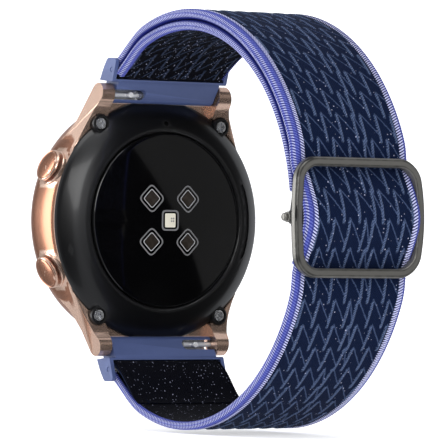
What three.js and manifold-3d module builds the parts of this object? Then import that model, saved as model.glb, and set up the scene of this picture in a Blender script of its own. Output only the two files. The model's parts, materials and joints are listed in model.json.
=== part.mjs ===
// A round fitness watch head on an adjustable elastic loop band.
// Millimetres. The origin is the centre of the band's loop, where the wrist goes.
// +X runs along the forearm on the side of the two push buttons, +Y from the head towards the
// buckle, and +Z towards twelve o'clock. The display faces -Y.
import * as THREE from "three";
import { mergeVertices } from "three/addons/utils/BufferGeometryUtils.js";
import Module from "manifold-3d";

const wasm = await Module();
wasm.setup();

// ---- Driving dimensions -------------------------------------------------------------------
const caseRadius = 19.75;
const coverRadius = 19.4;
const cavityRadius = 17.9;
const coverSeatY = -22.6; // the rear cover's flange meets the case here
const caseRearY = -22.8;
const caseFrontY = -30.4;
const displayLedgeY = -28.9; // inner face of the ledge that carries the display
const glassFrontY = -31.2;
const displayRadius = 18.5;
const displayBackY = -30.1; // inner face of the display glass
const buttonY = -25.6;
const buttonAngle = 24.5; // degrees above and below three o'clock
const buttonTravel = 0.4;
const buttonBossR = 19.85; // face of the case's boss under a button cap

const lugGap = 20.2; // between the inner faces of a pair of lugs
const lugOuterX = 12.5;
const barY = -21.9; // spring bar axis
const barZ = 20.0;
const lugTipRadius = 1.7;
const lugTipY = barY + 0.65;
const lugTipZ = barZ + 0.1;
const barrelClearance = 1.6;

const loopOuterR = 32.8;
const outerLayerInR = 31.5;
const innerLayerOutR = 30.8;
const innerLayerInR = 29.5;
const bandHalfWidth = 10.5;
const connectorHalfWidth = 11;
const tongueHalfWidth = 9.7;
const strapRodY = -19.3;
const strapRodZ = 23.9;
const strapRodRadius = 0.5;

const buckleAngle = 0.5; // degrees from +Y towards +Z
const buckleRodR = 31.0;
const buckleRodRadius = 0.8;
const buckleHalfX = 12.1;
const buckleHalfZ = 9.1;
const buckleBar = 1.45;
const buckleThickness = 1.4;

const screwX = 11.6;
const screwZ = 15.3;
const earRadius = 1.5;
const earTopY = -21.1;
const screwHeadR = 0.95;
const screwHoleR = 0.62;

// ---- Materials ----------------------------------------------------------------------------
const finish = (color, roughness, metalness) => () =>
  new THREE.MeshStandardMaterial({ color, roughness, metalness });
const roseGold = finish(0xc98f72, 0.35, 1);
const blackGloss = finish(0x0b0b0c, 0.12, 0);
const blackPlastic = finish(0x17171a, 0.5, 0);
const steel = finish(0xc4c6c9, 0.25, 1);
const gunmetal = finish(0x5a5a56, 0.35, 1);
const slatePlastic = finish(0x48588a, 0.45, 0);
const navyWeave = finish(0x12204a, 0.9, 0);
const rubber = finish(0x202022, 0.8, 0);
const boardGreen = finish(0x1f4a32, 0.6, 0);
const copper = finish(0xb5713f, 0.35, 1);
const ferrite = finish(0x2b2b2b, 0.7, 0);
const silverFoil = finish(0xa8aaac, 0.4, 1);
const sensorBrown = finish(0x3a2018, 0.3, 0);
const ledWhite = finish(0xf2ecd8, 0.4, 0);

// ---- Solids -------------------------------------------------------------------------------
// The signed volume of an indexed geometry: negative where its faces point inwards.
function signedVolume(geometry) {
  const p = geometry.attributes.position;
  const [a, b, c] = [new THREE.Vector3(), new THREE.Vector3(), new THREE.Vector3()];
  let sum = 0;
  for (let i = 0; i < geometry.index.count; i += 3) {
    a.fromBufferAttribute(p, geometry.index.getX(i));
    b.fromBufferAttribute(p, geometry.index.getX(i + 1));
    c.fromBufferAttribute(p, geometry.index.getX(i + 2));
    sum += a.dot(b.cross(c)) / 6;
  }
  return sum;
}

// A three.js geometry as a closed solid with its faces pointing out.
function solid(source) {
  const bare = source.clone();
  for (const name of Object.keys(bare.attributes)) if (name !== "position") bare.deleteAttribute(name);
  const merged = mergeVertices(bare, 1e-4);
  const triVerts = new Uint32Array(merged.index.array);
  if (signedVolume(merged) < 0)
    for (let i = 0; i < triVerts.length; i += 3)
      [triVerts[i + 1], triVerts[i + 2]] = [triVerts[i + 2], triVerts[i + 1]];
  const vertProperties = new Float32Array(merged.attributes.position.array);
  return new wasm.Manifold(new wasm.Mesh({ numProp: 3, vertProperties, triVerts }));
}

// The three.js geometry of a solid.
function geometryOf(made) {
  const mesh = made.getMesh();
  return new THREE.BufferGeometry()
    .setAttribute("position", new THREE.BufferAttribute(new Float32Array(mesh.vertProperties), 3))
    .setIndex(new THREE.BufferAttribute(new Uint32Array(mesh.triVerts), 1));
}

const unite = (...parts) => parts.reduce((a, b) => a.add(b));
const cut = (body, ...tools) => tools.reduce((a, b) => a.subtract(b), body);

// A solid of revolution about the Y axis from a closed profile of [radius, y].
function turned(profile, segments = 40) {
  const points = profile.map(([r, y]) => new THREE.Vector2(r, y));
  const first = points[0];
  const closed = first.x === 0 && points.at(-1).x === 0;
  if (!closed) points.push(first.clone());
  return new THREE.LatheGeometry(points, segments);
}

// The shape of a list of [a, b] points.
const outline = (points) => new THREE.Shape(points.map(([a, b]) => new THREE.Vector2(a, b)));

// Turns extruded (a, b, depth) into (X = depth, Y = a, Z = b).
const sideAxes = new THREE.Matrix4().makeBasis(
  new THREE.Vector3(0, 1, 0),
  new THREE.Vector3(0, 0, 1),
  new THREE.Vector3(1, 0, 0),
);

// A solid of constant section in the YZ plane, from x0 to x1.
function sideExtrusion(shape, x0, x1, curveSegments = 12) {
  const g = new THREE.ExtrudeGeometry(shape, { depth: x1 - x0, bevelEnabled: false, curveSegments });
  return g.translate(0, 0, x0).applyMatrix4(sideAxes);
}

// A solid of constant section in the XZ plane, from y0 to y1.
function planExtrusion(shape, y0, y1, curveSegments = 8) {
  const g = new THREE.ExtrudeGeometry(shape, { depth: y1 - y0, bevelEnabled: false, curveSegments });
  return g.rotateX(Math.PI / 2).translate(0, y1, 0);
}

// A rod along X, centred on (y, z).
function rodX(radius, x0, x1, y, z, segments = 20) {
  const g = new THREE.CylinderGeometry(radius, radius, x1 - x0, segments);
  return g.rotateZ(Math.PI / 2).translate((x0 + x1) / 2, y, z);
}

// A rod along Y, centred on (x, z).
function rodY(radius, y0, y1, x, z, segments = 16) {
  return new THREE.CylinderGeometry(radius, radius, y1 - y0, segments).translate(x, (y0 + y1) / 2, z);
}

// A box from its limits.
function block(x0, x1, y0, y1, z0, z1) {
  const g = new THREE.BoxGeometry(x1 - x0, y1 - y0, z1 - z0);
  return g.translate((x0 + x1) / 2, (y0 + y1) / 2, (z0 + z1) / 2);
}

function named(name, geometry, material) {
  const mesh = new THREE.Mesh(geometry, material());
  mesh.name = name;
  return mesh;
}

// Turns a piece of the twelve o'clock side half a turn about Y, onto the six o'clock side.
const toBottom = (geometry) => geometry.clone().rotateY(Math.PI);

const radians = THREE.MathUtils.degToRad;
const smooth = (t) => THREE.MathUtils.smoothstep(t, 0, 1);

// ---- Watch case ---------------------------------------------------------------------------
const cornerSigns = [[1, 1], [-1, 1], [-1, -1], [1, -1]];

// One lug, at +X +Z: its outline from the side, narrowed by its outline from the rear.
function lug() {
  const side = new THREE.Shape();
  side.moveTo(-28.6, 12);
  side.lineTo(-27.6, 14.6);
  side.lineTo(-25.6, 17.2);
  side.lineTo(-23.9, 19.4);
  side.absarc(lugTipY, lugTipZ, lugTipRadius, radians(140), radians(-40), true);
  side.lineTo(-21.4, 16.8);
  side.lineTo(-21.9, 14.8);
  side.lineTo(-22.4, 12);
  const plan = outline([
    [lugGap / 2, 12],
    [15.4, 12],
    [13.5, 16.2],
    [lugOuterX, 19.4],
    [lugOuterX - 0.3, 21.9],
    [lugGap / 2, 21.9],
  ]);
  const whole = solid(sideExtrusion(side, lugGap / 2, 17, 6)).intersect(solid(planExtrusion(plan, -30, -19)));
  // The rear cover and its ear sit in the lug's root.
  const coverSeat = solid(rodY(coverRadius + 0.15, caseRearY, -19, 0, 0, 64));
  const earSeat = solid(rodY(earRadius + 0.15, caseRearY, -19, screwX, screwZ, 20));
  return cut(whole, coverSeat, earSeat);
}

const buttonSides = [["upper", buttonAngle], ["lower", -buttonAngle]];

// A geometry built round the +Y axis, turned to point outwards through the case at that angle.
const toButton = (geometry, angle) =>
  geometry.clone().rotateZ(-Math.PI / 2).rotateY(-radians(angle)).translate(0, buttonY, 0);

function caseBody() {
  const rimR = displayRadius + 0.3;
  const ring = solid(turned([
    [19.35, caseRearY], [19.65, -23.4], [caseRadius, -25.0], [caseRadius, -28.4], [19.6, -29.3],
    [19.25, -30.0], [rimR, caseFrontY], [rimR, displayLedgeY - 0.6], [17.0, displayLedgeY - 0.6],
    [17.0, displayLedgeY], [cavityRadius, displayLedgeY], [cavityRadius, caseRearY],
  ]));
  const quarter = geometryOf(lug());
  const lugs = cornerSigns.map(([sx, sz]) => solid(quarter.clone().scale(sx, 1, sz)));
  const cavity = solid(rodY(cavityRadius, displayLedgeY, -19, 0, 0, 40));
  const bosses = buttonSides.map(([, angle]) =>
    solid(toButton(rodY(2.9, 18.9, buttonBossR, 0, 0, 20), angle)),
  );
  const bores = buttonSides.map(([, angle]) => solid(toButton(rodY(0.95, 17, 22, 0, 0, 12), angle)));
  const barrels = [1, -1].map((s) =>
    solid(rodX(barrelClearance, -lugGap / 2, lugGap / 2, barY, s * barZ, 16)),
  );
  const barHoles = [];
  for (const [sx, sz] of cornerSigns) {
    const [x0, x1] = sx > 0 ? [9, 11.7] : [-11.7, -9];
    barHoles.push(solid(rodX(0.52, x0, x1, barY, sz * barZ, 12)));
  }
  const threads = cornerSigns.map(([sx, sz]) =>
    solid(rodY(screwHoleR, -26, -19, sx * screwX, sz * screwZ, 8)),
  );
  const display = solid(rodY(17.0, caseFrontY, displayLedgeY + 0.1, 0, 0, 40));
  return cut(unite(ring, ...lugs, ...bosses), cavity, display, ...bores, ...barrels, ...barHoles, ...threads);
}

// ---- Rear cover and its screws ------------------------------------------------------------
function rearCover() {
  const dome = solid(turned([
    [12.8, -20.7], [14.2, -20.7], [14.2, -19.65], [14.6, -19.6], [15.5, -19.85], [16.7, -20.3],
    [17.8, -20.95], [18.8, -21.7], [19.3, -22.2], [coverRadius, coverSeatY], [17.2, coverSeatY],
    [17.2, -23.8], [16.4, -23.8], [16.4, -22.2], [15.0, -21.3], [12.8, -21.3],
  ]));
  const ears = cornerSigns.map(([sx, sz]) =>
    solid(rodY(earRadius, coverSeatY, earTopY, sx * screwX, sz * screwZ, 16)),
  );
  const heads = cornerSigns.map(([sx, sz]) =>
    solid(rodY(screwHeadR + 0.17, -21.7, -20, sx * screwX, sz * screwZ, 14)),
  );
  const shanks = cornerSigns.map(([sx, sz]) =>
    solid(rodY(screwHoleR, -23, -21, sx * screwX, sz * screwZ, 8)),
  );
  const barrels = [1, -1].map((s) =>
    solid(rodX(barrelClearance, -lugGap / 2, lugGap / 2, barY, s * barZ, 16)),
  );
  const airVent = solid(rodY(0.3, -25, -19, 0, 15.6, 8));
  return cut(unite(dome, ...ears), ...heads, ...shanks, ...barrels, airVent);
}

function rearScrew(sx, sz) {
  const [shankR, headY, topY] = [0.45, -21.6, -21.15];
  const body = solid(turned([
    [0, -25.4], [shankR, -25.4], [shankR, headY], [screwHeadR, headY], [screwHeadR, topY], [0, topY],
  ], 12));
  const slots = [
    block(-0.6, 0.6, topY - 0.2, topY + 0.1, -0.12, 0.12),
    block(-0.12, 0.12, topY - 0.2, topY + 0.1, -0.6, 0.6),
  ];
  return geometryOf(cut(body, ...slots.map(solid))).translate(sx * screwX, 0, sz * screwZ);
}

// ---- Inside the case ----------------------------------------------------------------------
// A diamond plate round (x, z), from y0 to y1.
function diamond(half, y0, y1, x, z) {
  return planExtrusion(outline([[half, 0], [0, half], [-half, 0], [0, -half]]), y0, y1).translate(x, 0, z);
}

const diodePitch = 3.47;
const diodeHalf = 1.55;

function lightBaffle() {
  const plate = solid(turned([[0, -21.15], [6.6, -21.15], [6.6, -20.75], [0, -20.75]], 24));
  const holes = cornerSigns.map(([sx, sz]) =>
    solid(diamond(diodeHalf + 0.25, -22, -20, sx * diodePitch, sz * diodePitch)),
  );
  return cut(plate, ...holes, solid(block(-1.25, 1.25, -22, -20, -1.25, 1.25)));
}

// A flat ring, or a disc where the inner radius is 0, from y0 to y1.
const washer = (r0, r1, y0, y1, n = 28) => turned([[r0, y0], [r1, y0], [r1, y1], [r0, y1]], n);

// The display glass: a flat disc with a rolled edge.
function displayGlass() {
  return turned([
    [0, glassFrontY], [displayRadius - 0.9, glassFrontY], [displayRadius - 0.2, glassFrontY + 0.3],
    [displayRadius, glassFrontY + 0.8], [displayRadius, displayBackY], [0, displayBackY],
  ]);
}

// The domed glass over the sensors.
function rearGlass() {
  return turned([
    [0, -20.6], [13.95, -20.6], [13.95, -19.6], [11, -19.1], [7, -18.65], [3, -18.45], [0, -18.45],
  ]);
}

function watchInsides() {
  const trayFloorY = displayLedgeY + 0.2;
  const tray = turned([
    [0, trayFloorY], [15, trayFloorY], [15, -23.9], [14.2, -23.9],
    [14.2, trayFloorY + 0.8], [0, trayFloorY + 0.8],
  ], 28);
  const packY = trayFloorY + 0.9; // the battery and the motor stand on the tray
  return [
    named("display_glass", displayGlass(), blackGloss),
    named("display_panel", washer(0, 16.8, displayBackY + 0.1, displayBackY + 1.1), blackPlastic),
    named("display_adhesive", washer(17.1, 18.4, displayBackY + 0.1, displayLedgeY - 0.7), rubber),
    named("inner_tray", tray, blackPlastic),
    named("battery", block(-9, 9, packY, -24.1, -9, 9), silverFoil),
    named("vibration_motor", block(-4.5, 4.5, packY, packY + 2.6, 9.4, 13.2), steel),
    named("main_board", washer(0, 13.9, -23.7, -22.9), boardGreen),
    named("shield_can", block(-4, 4, -22.8, -22.1, -11.5, -7.5), steel),
    named("ferrite_sheet", washer(7.2, 12.3, -21.9, -21.65), ferrite),
    named("charging_coil", washer(7.4, 12.1, -21.55, -20.95), copper),
    named("sensor_board", washer(0, 6.8, -21.9, -21.3, 24), boardGreen),
    named("light_baffle", geometryOf(lightBaffle()), blackPlastic),
    named("sensor_light", block(-1, 1, -21.2, -20.75, -1, 1), ledWhite),
    ...cornerSigns.map(([sx, sz], i) => {
      const chip = diamond(diodeHalf, -21.2, -20.75, sx * diodePitch, sz * diodePitch);
      return named(`photodiode_${i + 1}`, chip, sensorBrown);
    }),
    named("rear_gasket", washer(17.35, 17.8, -23.5, -22.9, 40), rubber),
    named("rear_glass", rearGlass(), blackGloss),
  ];
}

// ---- Push buttons -------------------------------------------------------------------------
function pushButton(side, angle) {
  const capR0 = buttonBossR + buttonTravel + 0.05; // underside of the cap at rest
  const cap = turned([
    [0, 16.9], [0.75, 16.9], [0.75, capR0], [2.6, capR0], [2.7, capR0 + 0.3], [2.45, capR0 + 0.6],
    [2.2, capR0 + 0.7], [0, capR0 + 0.8],
  ], 18);
  const seal = turned([[0.78, 18.6], [0.93, 18.6], [0.93, 19.1], [0.78, 19.1]], 12);
  const clip = turned([[0.8, 17.3], [1.5, 17.3], [1.5, 17.6], [0.8, 17.6]], 12);
  const switchBody = block(-1.5, 1.5, 15.15, 16.4, -1.5, 1.5);
  return {
    moving: [
      named(`${side}_button`, toButton(cap, angle), roseGold),
      named(`${side}_button_clip`, toButton(clip, angle), steel),
    ],
    fixed: [
      named(`${side}_button_seal`, toButton(seal, angle), rubber),
      named(`${side}_button_switch`, toButton(switchBody, angle), steel),
    ],
  };
}

// ---- Strap connector with its quick-release spring bar --------------------------------------
const tubeRadius = 0.8;
const tubeBore = 0.5;
const releaseX0 = 4.6; // inner end of the slot for the release knob
const releaseTravel = 1.3;
const knobX = releaseX0 + releaseTravel + 0.6;

function connectorBody() {
  const barrel = solid(rodX(1.3, -tongueHalfWidth, tongueHalfWidth, barY, barZ, 16));
  const neck = solid(sideExtrusion(outline([
    [-23.15, 20.3], [-22.7, 22.5], [-19.0, 22.4], [-19.3, 21.5], [-20.75, 19.4],
  ]), -tongueHalfWidth, tongueHalfWidth));
  const head = solid(sideExtrusion(outline([
    [-22.7, 22.35], [-20.6, 25.6], [-20.3, 25.85], [-18.2, 25.6], [-18.0, 25.2], [-19.0, 22.1],
    [-19.3, 21.95],
  ]), -connectorHalfWidth, connectorHalfWidth));
  const pocketHalf = 10.35;
  const pocket = new THREE.Shape();
  pocket.absarc(strapRodY, strapRodZ, 1.6, radians(140), radians(-40), false);
  pocket.lineTo(strapRodY + 4.2, strapRodZ + 2.4);
  pocket.lineTo(strapRodY + 1.6, strapRodZ + 4.6);
  const channel = solid(sideExtrusion(pocket, -pocketHalf, pocketHalf, 8));
  const rodHole = solid(rodX(strapRodRadius + 0.08, -20, 20, strapRodY, strapRodZ, 12));
  const barBore = solid(rodX(1.0, -20, 20, barY, barZ, 12));
  const slot = solid(block(releaseX0, 12, barY, barY + 3, barZ - 0.55, barZ + 0.55));
  return cut(unite(barrel, neck, head), channel, rodHole, barBore, slot);
}

function springBarTube() {
  const tube = cut(
    solid(rodX(tubeRadius, -8.9, 9.0, barY, barZ, 12)),
    solid(rodX(tubeBore, -7.4, 10, barY, barZ, 12)),
    solid(block(releaseX0, 12, barY, barY + 2, barZ - 0.35, barZ + 0.35)),
  );
  const tip = rodX(0.42, -11.3, -8.8, barY, barZ, 12);
  return unite(tube, solid(tip));
}

// A small compression spring: a square wire wound round the bar's axis.
function barSpring() {
  const [turns, radius, wire, x0, x1] = [6, 0.32, 0.07, -7.2, 2.7];
  const points = [];
  for (let i = 0; i <= turns * 5; i++) {
    const a = (i / 5) * Math.PI * 2;
    const x = x0 + ((x1 - x0) * i) / (turns * 5);
    points.push(new THREE.Vector3(x, barY + radius * Math.cos(a), barZ + radius * Math.sin(a)));
  }
  const path = new THREE.CatmullRomCurve3(points);
  const section = outline([[wire, wire], [-wire, wire], [-wire, -wire], [wire, -wire]]);
  return new THREE.ExtrudeGeometry(section, { steps: points.length, extrudePath: path });
}

// The strap's end, folded round the connector's rod, as far as the mouth of the channel.
function strapFold(innerR, outerR, mouth) {
  const fold = new THREE.Shape();
  const toLoop = Math.atan2(-strapRodY, strapRodZ); // direction of the strap as it leaves the rod
  const [a0, a1] = [toLoop + Math.PI / 2, toLoop - Math.PI / 2];
  const along = [Math.cos(toLoop), Math.sin(toLoop)];
  const at = (r, a, run) => [
    strapRodY + r * Math.cos(a) + run * along[0],
    strapRodZ + r * Math.sin(a) + run * along[1],
  ];
  fold.moveTo(...at(outerR, a0, mouth));
  fold.lineTo(...at(outerR, a0, 0));
  fold.absarc(strapRodY, strapRodZ, outerR, a0, a1, false);
  fold.lineTo(...at(outerR, a1, mouth));
  fold.lineTo(...at(innerR, a1, mouth));
  fold.lineTo(...at(innerR, a1, 0));
  fold.absarc(strapRodY, strapRodZ, innerR, a1, a0, true);
  fold.lineTo(...at(innerR, a0, mouth));
  return sideExtrusion(fold, -10.1, 10.1, 7);
}

function connectorSet(side, place) {
  const slidingTip = unite(
    solid(rodX(0.44, 3.0, 9.2, barY, barZ, 10)),
    solid(rodX(0.42, 9.1, 11.3, barY, barZ, 10)),
  );
  const knob = new THREE.CylinderGeometry(0.3, 0.3, 1.15, 10).translate(knobX, barY + 0.5 + 0.6, barZ);
  const fold = strapFold(strapRodRadius + 0.1, 1.45, 0.6);
  return {
    body: [
      named(`${side}_connector`, place(geometryOf(connectorBody())), slatePlastic),
      named(`${side}_spring_bar_tube`, place(geometryOf(springBarTube())), steel),
      named(`${side}_strap_rod`, place(rodX(strapRodRadius, -10.8, 10.8, strapRodY, strapRodZ, 14)), steel),
      named(`${side}_strap_fold`, place(fold), navyWeave),
    ],
    spring: named(`${side}_bar_spring`, place(barSpring()), steel),
    release: [
      named(`${side}_sliding_tip`, place(geometryOf(slidingTip)), steel),
      named(`${side}_release_knob`, place(knob), steel),
    ],
  };
}

// ---- Band ---------------------------------------------------------------------------------
const rodAngle = THREE.MathUtils.radToDeg(Math.atan2(strapRodZ, strapRodY)); // from the buckle to the rod
const rodR = Math.hypot(strapRodY, strapRodZ);
// How far a layer has narrowed towards a connector's rod, from 0 to 1.
const taper = (angle) => smooth((Math.abs(angle) - 110) / (rodAngle - 3.5 - 110));
// Distance along the band from the buckle's middle.
const fromBuckle = (angle) => radians(angle - buckleAngle) * 32;

// How far the outer layer is lifted over the buckle's rod and pressed under its end bars.
function lift(angle) {
  const s = fromBuckle(angle);
  return 1.78 * Math.exp(-((s / 2.9) ** 2)) - 0.6 * Math.exp(-(((Math.abs(s) - 8.2) / 2.4) ** 2));
}

const outerLayerIn = (a) => THREE.MathUtils.lerp(outerLayerInR + lift(a), rodR + 0.6, taper(a));
const outerLayerOut = (a) => THREE.MathUtils.lerp(loopOuterR - 0.05 + lift(a), rodR + 1.45, taper(a));
const innerLayerIn = (a) => THREE.MathUtils.lerp(innerLayerInR, rodR - 1.45, taper(a));
const innerLayerOut = (a) => THREE.MathUtils.lerp(innerLayerOutR - 0.1, rodR - 0.6, taper(a));

// The angles at which a layer's outline has points, closer together where the buckle bends it.
function layerAngles(from, to) {
  const angles = [];
  for (let a = from; a < to - 1; a += Math.abs(a - buckleAngle) < 24 ? 1.6 : 5) angles.push(a);
  return [...angles, to];
}

// A band layer between two radius formulas, from one angle up to another.
function bandLayer(insideR, outsideR, from, to, half = bandHalfWidth) {
  const point = (r, a) => [r(a) * Math.cos(radians(a)), r(a) * Math.sin(radians(a))];
  const angles = layerAngles(from, to);
  const outside = angles.map((a) => point(outsideR, a));
  const inside = angles.reverse().map((a) => point(insideR, a));
  return sideExtrusion(outline([...outside, ...inside]), -half, half);
}

function band() {
  const end = 125.3;
  // At the bottom the strap's own end is turned back inside it and sewn down.
  const seamIn = (a) => THREE.MathUtils.lerp(outerLayerIn(a) - 0.15, rodR - 1.4, smooth((-a - 112) / 14));
  const seamOut = (a) => THREE.MathUtils.lerp(outerLayerIn(a) - 0.1, rodR - 0.6, smooth((-a - 112) / 14));
  return [
    named("band_outer", bandLayer(outerLayerIn, outerLayerOut, -end, end), navyWeave),
    named("band_inner", bandLayer(innerLayerIn, innerLayerOut, 8, end), navyWeave),
    named("band_sewn_end", bandLayer(seamIn, seamOut, -end, -112, 10.1), navyWeave),
  ];
}

// ---- Buckle -------------------------------------------------------------------------------
const archRadius = 80;
const archTopY = 33.45;

function buckleFrame() {
  const arch = (r) => {
    const shape = new THREE.Shape();
    const span = Math.asin((buckleHalfZ + 1) / r);
    shape.absarc(archTopY - archRadius, 0, r, -span, span, false);
    return shape.getPoints(6).map((p) => [p.x, p.y]);
  };
  const section = outline([...arch(archRadius), ...arch(archRadius - buckleThickness).reverse()]);
  const strip = solid(sideExtrusion(section, -14, 14));
  const corner = 3.5;
  const roundedRect = (hx, hz, r) => {
    const s = new THREE.Shape();
    s.absarc(hx - r, hz - r, r, 0, Math.PI / 2, false);
    s.absarc(r - hx, hz - r, r, Math.PI / 2, Math.PI, false);
    s.absarc(r - hx, r - hz, r, Math.PI, 1.5 * Math.PI, false);
    s.absarc(hx - r, r - hz, r, 1.5 * Math.PI, 2 * Math.PI, false);
    return s;
  };
  const outer = solid(planExtrusion(roundedRect(buckleHalfX, buckleHalfZ, corner), 28, 35, 5));
  const inner = solid(planExtrusion(
    roundedRect(buckleHalfX - buckleBar, buckleHalfZ - buckleBar, corner - buckleBar), 27, 36, 4,
  ));
  const ears = [-1, 1].map((s) => {
    const [x0, x1] = [buckleHalfX - buckleBar, buckleHalfX].map((x) => s * x).sort((a, b) => a - b);
    return solid(rodX(1.5, x0, x1, buckleRodR, 0, 20));
  });
  const hole = solid(rodX(buckleRodRadius + 0.1, -20, 20, buckleRodR, 0, 20));
  return cut(unite(strip.intersect(cut(outer, inner)), ...ears), hole);
}

// The inner layer's end, wrapped round the buckle's rod and sewn back onto itself.
function bandEndLoop() {
  const wrap = cut(
    solid(rodX(2.1, -bandHalfWidth, bandHalfWidth, buckleRodR, 0, 20)),
    solid(rodX(0.95, -12, 12, buckleRodR, 0, 16)),
  );
  const tab = solid(bandLayer(() => 30.95, () => 31.35, 3.4, 6.6));
  const stub = solid(bandLayer(() => innerLayerInR, () => innerLayerOutR - 0.1, 3.4, 5.3));
  return unite(wrap, tab, stub);
}

function buckle() {
  const tilt = radians(buckleAngle);
  const rod = rodX(buckleRodRadius, 0.1 - buckleHalfX, buckleHalfX + 0.1, buckleRodR, 0, 20);
  const nub = rodX(0.85, buckleHalfX + 0.05, buckleHalfX + 1.1, buckleRodR, 0, 20);
  return [
    named("buckle_frame", geometryOf(buckleFrame()).rotateX(tilt), gunmetal),
    named("buckle_rod", geometryOf(unite(solid(rod), solid(nub))).rotateX(tilt), gunmetal),
    named("band_end_loop", geometryOf(bandEndLoop()).rotateX(tilt), navyWeave),
  ];
}

// ---- Assembly -----------------------------------------------------------------------------
const group = new THREE.Group();
group.add(named("case_body", geometryOf(caseBody()), roseGold));
group.add(named("rear_cover", geometryOf(rearCover()), blackGloss));
cornerSigns.forEach(([sx, sz], i) => group.add(named(`rear_screw_${i + 1}`, rearScrew(sx, sz), steel)));
group.add(...watchInsides());
for (const [side, angle] of buttonSides) {
  const made = pushButton(side, angle);
  group.add(...made.moving, ...made.fixed);
}
for (const [side, place] of [["top", (g) => g], ["bottom", toBottom]]) {
  const made = connectorSet(side, place);
  group.add(...made.body, made.spring, ...made.release);
}
group.add(...band(), ...buckle());

export default group;
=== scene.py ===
"""A round fitness watch head on an adjustable elastic loop band.

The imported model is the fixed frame: the origin is the centre of the band's loop, +X points to
the push buttons, +Y from the watch head to the buckle and +Z to twelve o'clock. Every length in
this file is in millimetres unless its name ends in _m, and meshes are scaled once, as they are made.
"""

import json
import logging
import math
from dataclasses import dataclass, field
from enum import Enum
from typing import Callable, Iterable, Sequence, Union

import bmesh
import bpy
import numpy as np
from mathutils import Matrix, Vector


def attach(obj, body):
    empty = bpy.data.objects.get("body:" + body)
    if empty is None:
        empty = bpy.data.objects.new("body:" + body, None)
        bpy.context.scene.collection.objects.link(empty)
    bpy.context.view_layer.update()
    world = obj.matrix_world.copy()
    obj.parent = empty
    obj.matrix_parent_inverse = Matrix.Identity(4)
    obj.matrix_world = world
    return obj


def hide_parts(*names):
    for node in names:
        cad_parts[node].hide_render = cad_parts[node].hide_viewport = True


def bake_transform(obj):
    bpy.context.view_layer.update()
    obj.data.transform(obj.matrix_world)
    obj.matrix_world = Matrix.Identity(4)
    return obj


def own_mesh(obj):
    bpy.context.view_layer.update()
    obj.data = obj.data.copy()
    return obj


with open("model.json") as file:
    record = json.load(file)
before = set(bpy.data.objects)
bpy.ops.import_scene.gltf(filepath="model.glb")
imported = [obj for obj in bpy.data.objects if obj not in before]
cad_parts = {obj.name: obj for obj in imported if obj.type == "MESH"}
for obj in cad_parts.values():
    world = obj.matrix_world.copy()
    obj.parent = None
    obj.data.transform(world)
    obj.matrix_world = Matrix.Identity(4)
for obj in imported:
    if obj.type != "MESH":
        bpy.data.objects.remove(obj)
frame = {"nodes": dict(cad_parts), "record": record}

MM = 0.001
log = logging.getLogger("fitness_watch")

Point = tuple[float, float]
Faces = list[tuple[int, ...]]
Part = tuple[np.ndarray, Faces]
Colour = tuple[float, float, float]
Socket = Union[bpy.types.NodeSocket, float, tuple]

CORNERS = ((1, 1), (-1, 1), (-1, -1), (1, -1))
BAND_HALF = 10.5
THROUGH = 20.0


# ---- Outlines -------------------------------------------------------------------------------
def smoothstep(low: float, high: float, value: np.ndarray) -> np.ndarray:
    """Rises smoothly from 0 at low to 1 at high, or falls where high is below low."""
    t = np.clip((np.asarray(value, float) - low) / (high - low), 0.0, 1.0)
    return t * t * (3 - 2 * t)


def arc(centre: Point, radius: float, start: float, end: float, steps: int) -> list[Point]:
    """Points on an arc.

    Args:
        centre: Middle of the arc.
        radius: Radius of the arc.
        start: First angle in degrees, from the first axis towards the second.
        end: Last angle in degrees.
        steps: How many spans the arc has.

    Returns:
        The steps + 1 points.
    """
    angles = np.radians(np.linspace(start, end, steps + 1))
    return [(centre[0] + radius * math.cos(a), centre[1] + radius * math.sin(a)) for a in angles]


def rounded(points: Sequence[Point], radius: float, steps: int = 4) -> list[Point]:
    """Rounds every corner of a closed outline.

    Args:
        points: Corners of the outline in order.
        radius: How far from a corner its curve starts, at most 0.45 of a side.
        steps: Spans in each corner's curve.

    Returns:
        The rounded outline.
    """
    corners = np.asarray(points, float)
    made: list[Point] = []
    for before, here, after in zip(np.roll(corners, 1, 0), corners, np.roll(corners, -1, 0)):
        to_before, to_after = before - here, after - here
        reach = min(radius, 0.45 * np.linalg.norm(to_before), 0.45 * np.linalg.norm(to_after))
        first = here + to_before / np.linalg.norm(to_before) * reach
        last = here + to_after / np.linalg.norm(to_after) * reach
        for t in np.linspace(0, 1, steps + 1):
            made.append(tuple((1 - t) ** 2 * first + 2 * t * (1 - t) * here + t * t * last))
    return made


def curve_through(points: Sequence[Point], spans: int) -> list[Point]:
    """A smooth open curve through points, with that many spans between neighbours.

    Args:
        points: Points in order.
        spans: Spans between two neighbours.

    Returns:
        The points of the curve.
    """
    p = np.asarray(points, float)
    ends = np.vstack([2 * p[0] - p[1], p, 2 * p[-1] - p[-2]])
    made = [
        0.5 * (2 * b + (c - a) * t + (2 * a - 5 * b + 4 * c - d) * t**2 + (3 * b - 3 * c + d - a) * t**3)
        for a, b, c, d in zip(ends, ends[1:], ends[2:], ends[3:])
        for t in np.linspace(0, 1, spans, endpoint=False)
    ]
    return [tuple(q) for q in made] + [tuple(p[-1])]


def spaced(points: Sequence[Point], gap: float) -> list[Point]:
    """Adds points to a closed outline until no two neighbours are further apart than a gap.

    Args:
        points: Points in order.
        gap: The largest distance left between neighbours.

    Returns:
        The outline with the added points.
    """
    made: list[Point] = []
    for (ax, ay), (bx, by) in zip(points, [*points[1:], points[0]]):
        spans = max(1, math.ceil(math.hypot(bx - ax, by - ay) / gap))
        made += [(ax + (bx - ax) * k / spans, ay + (by - ay) * k / spans) for k in range(spans)]
    return made


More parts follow.
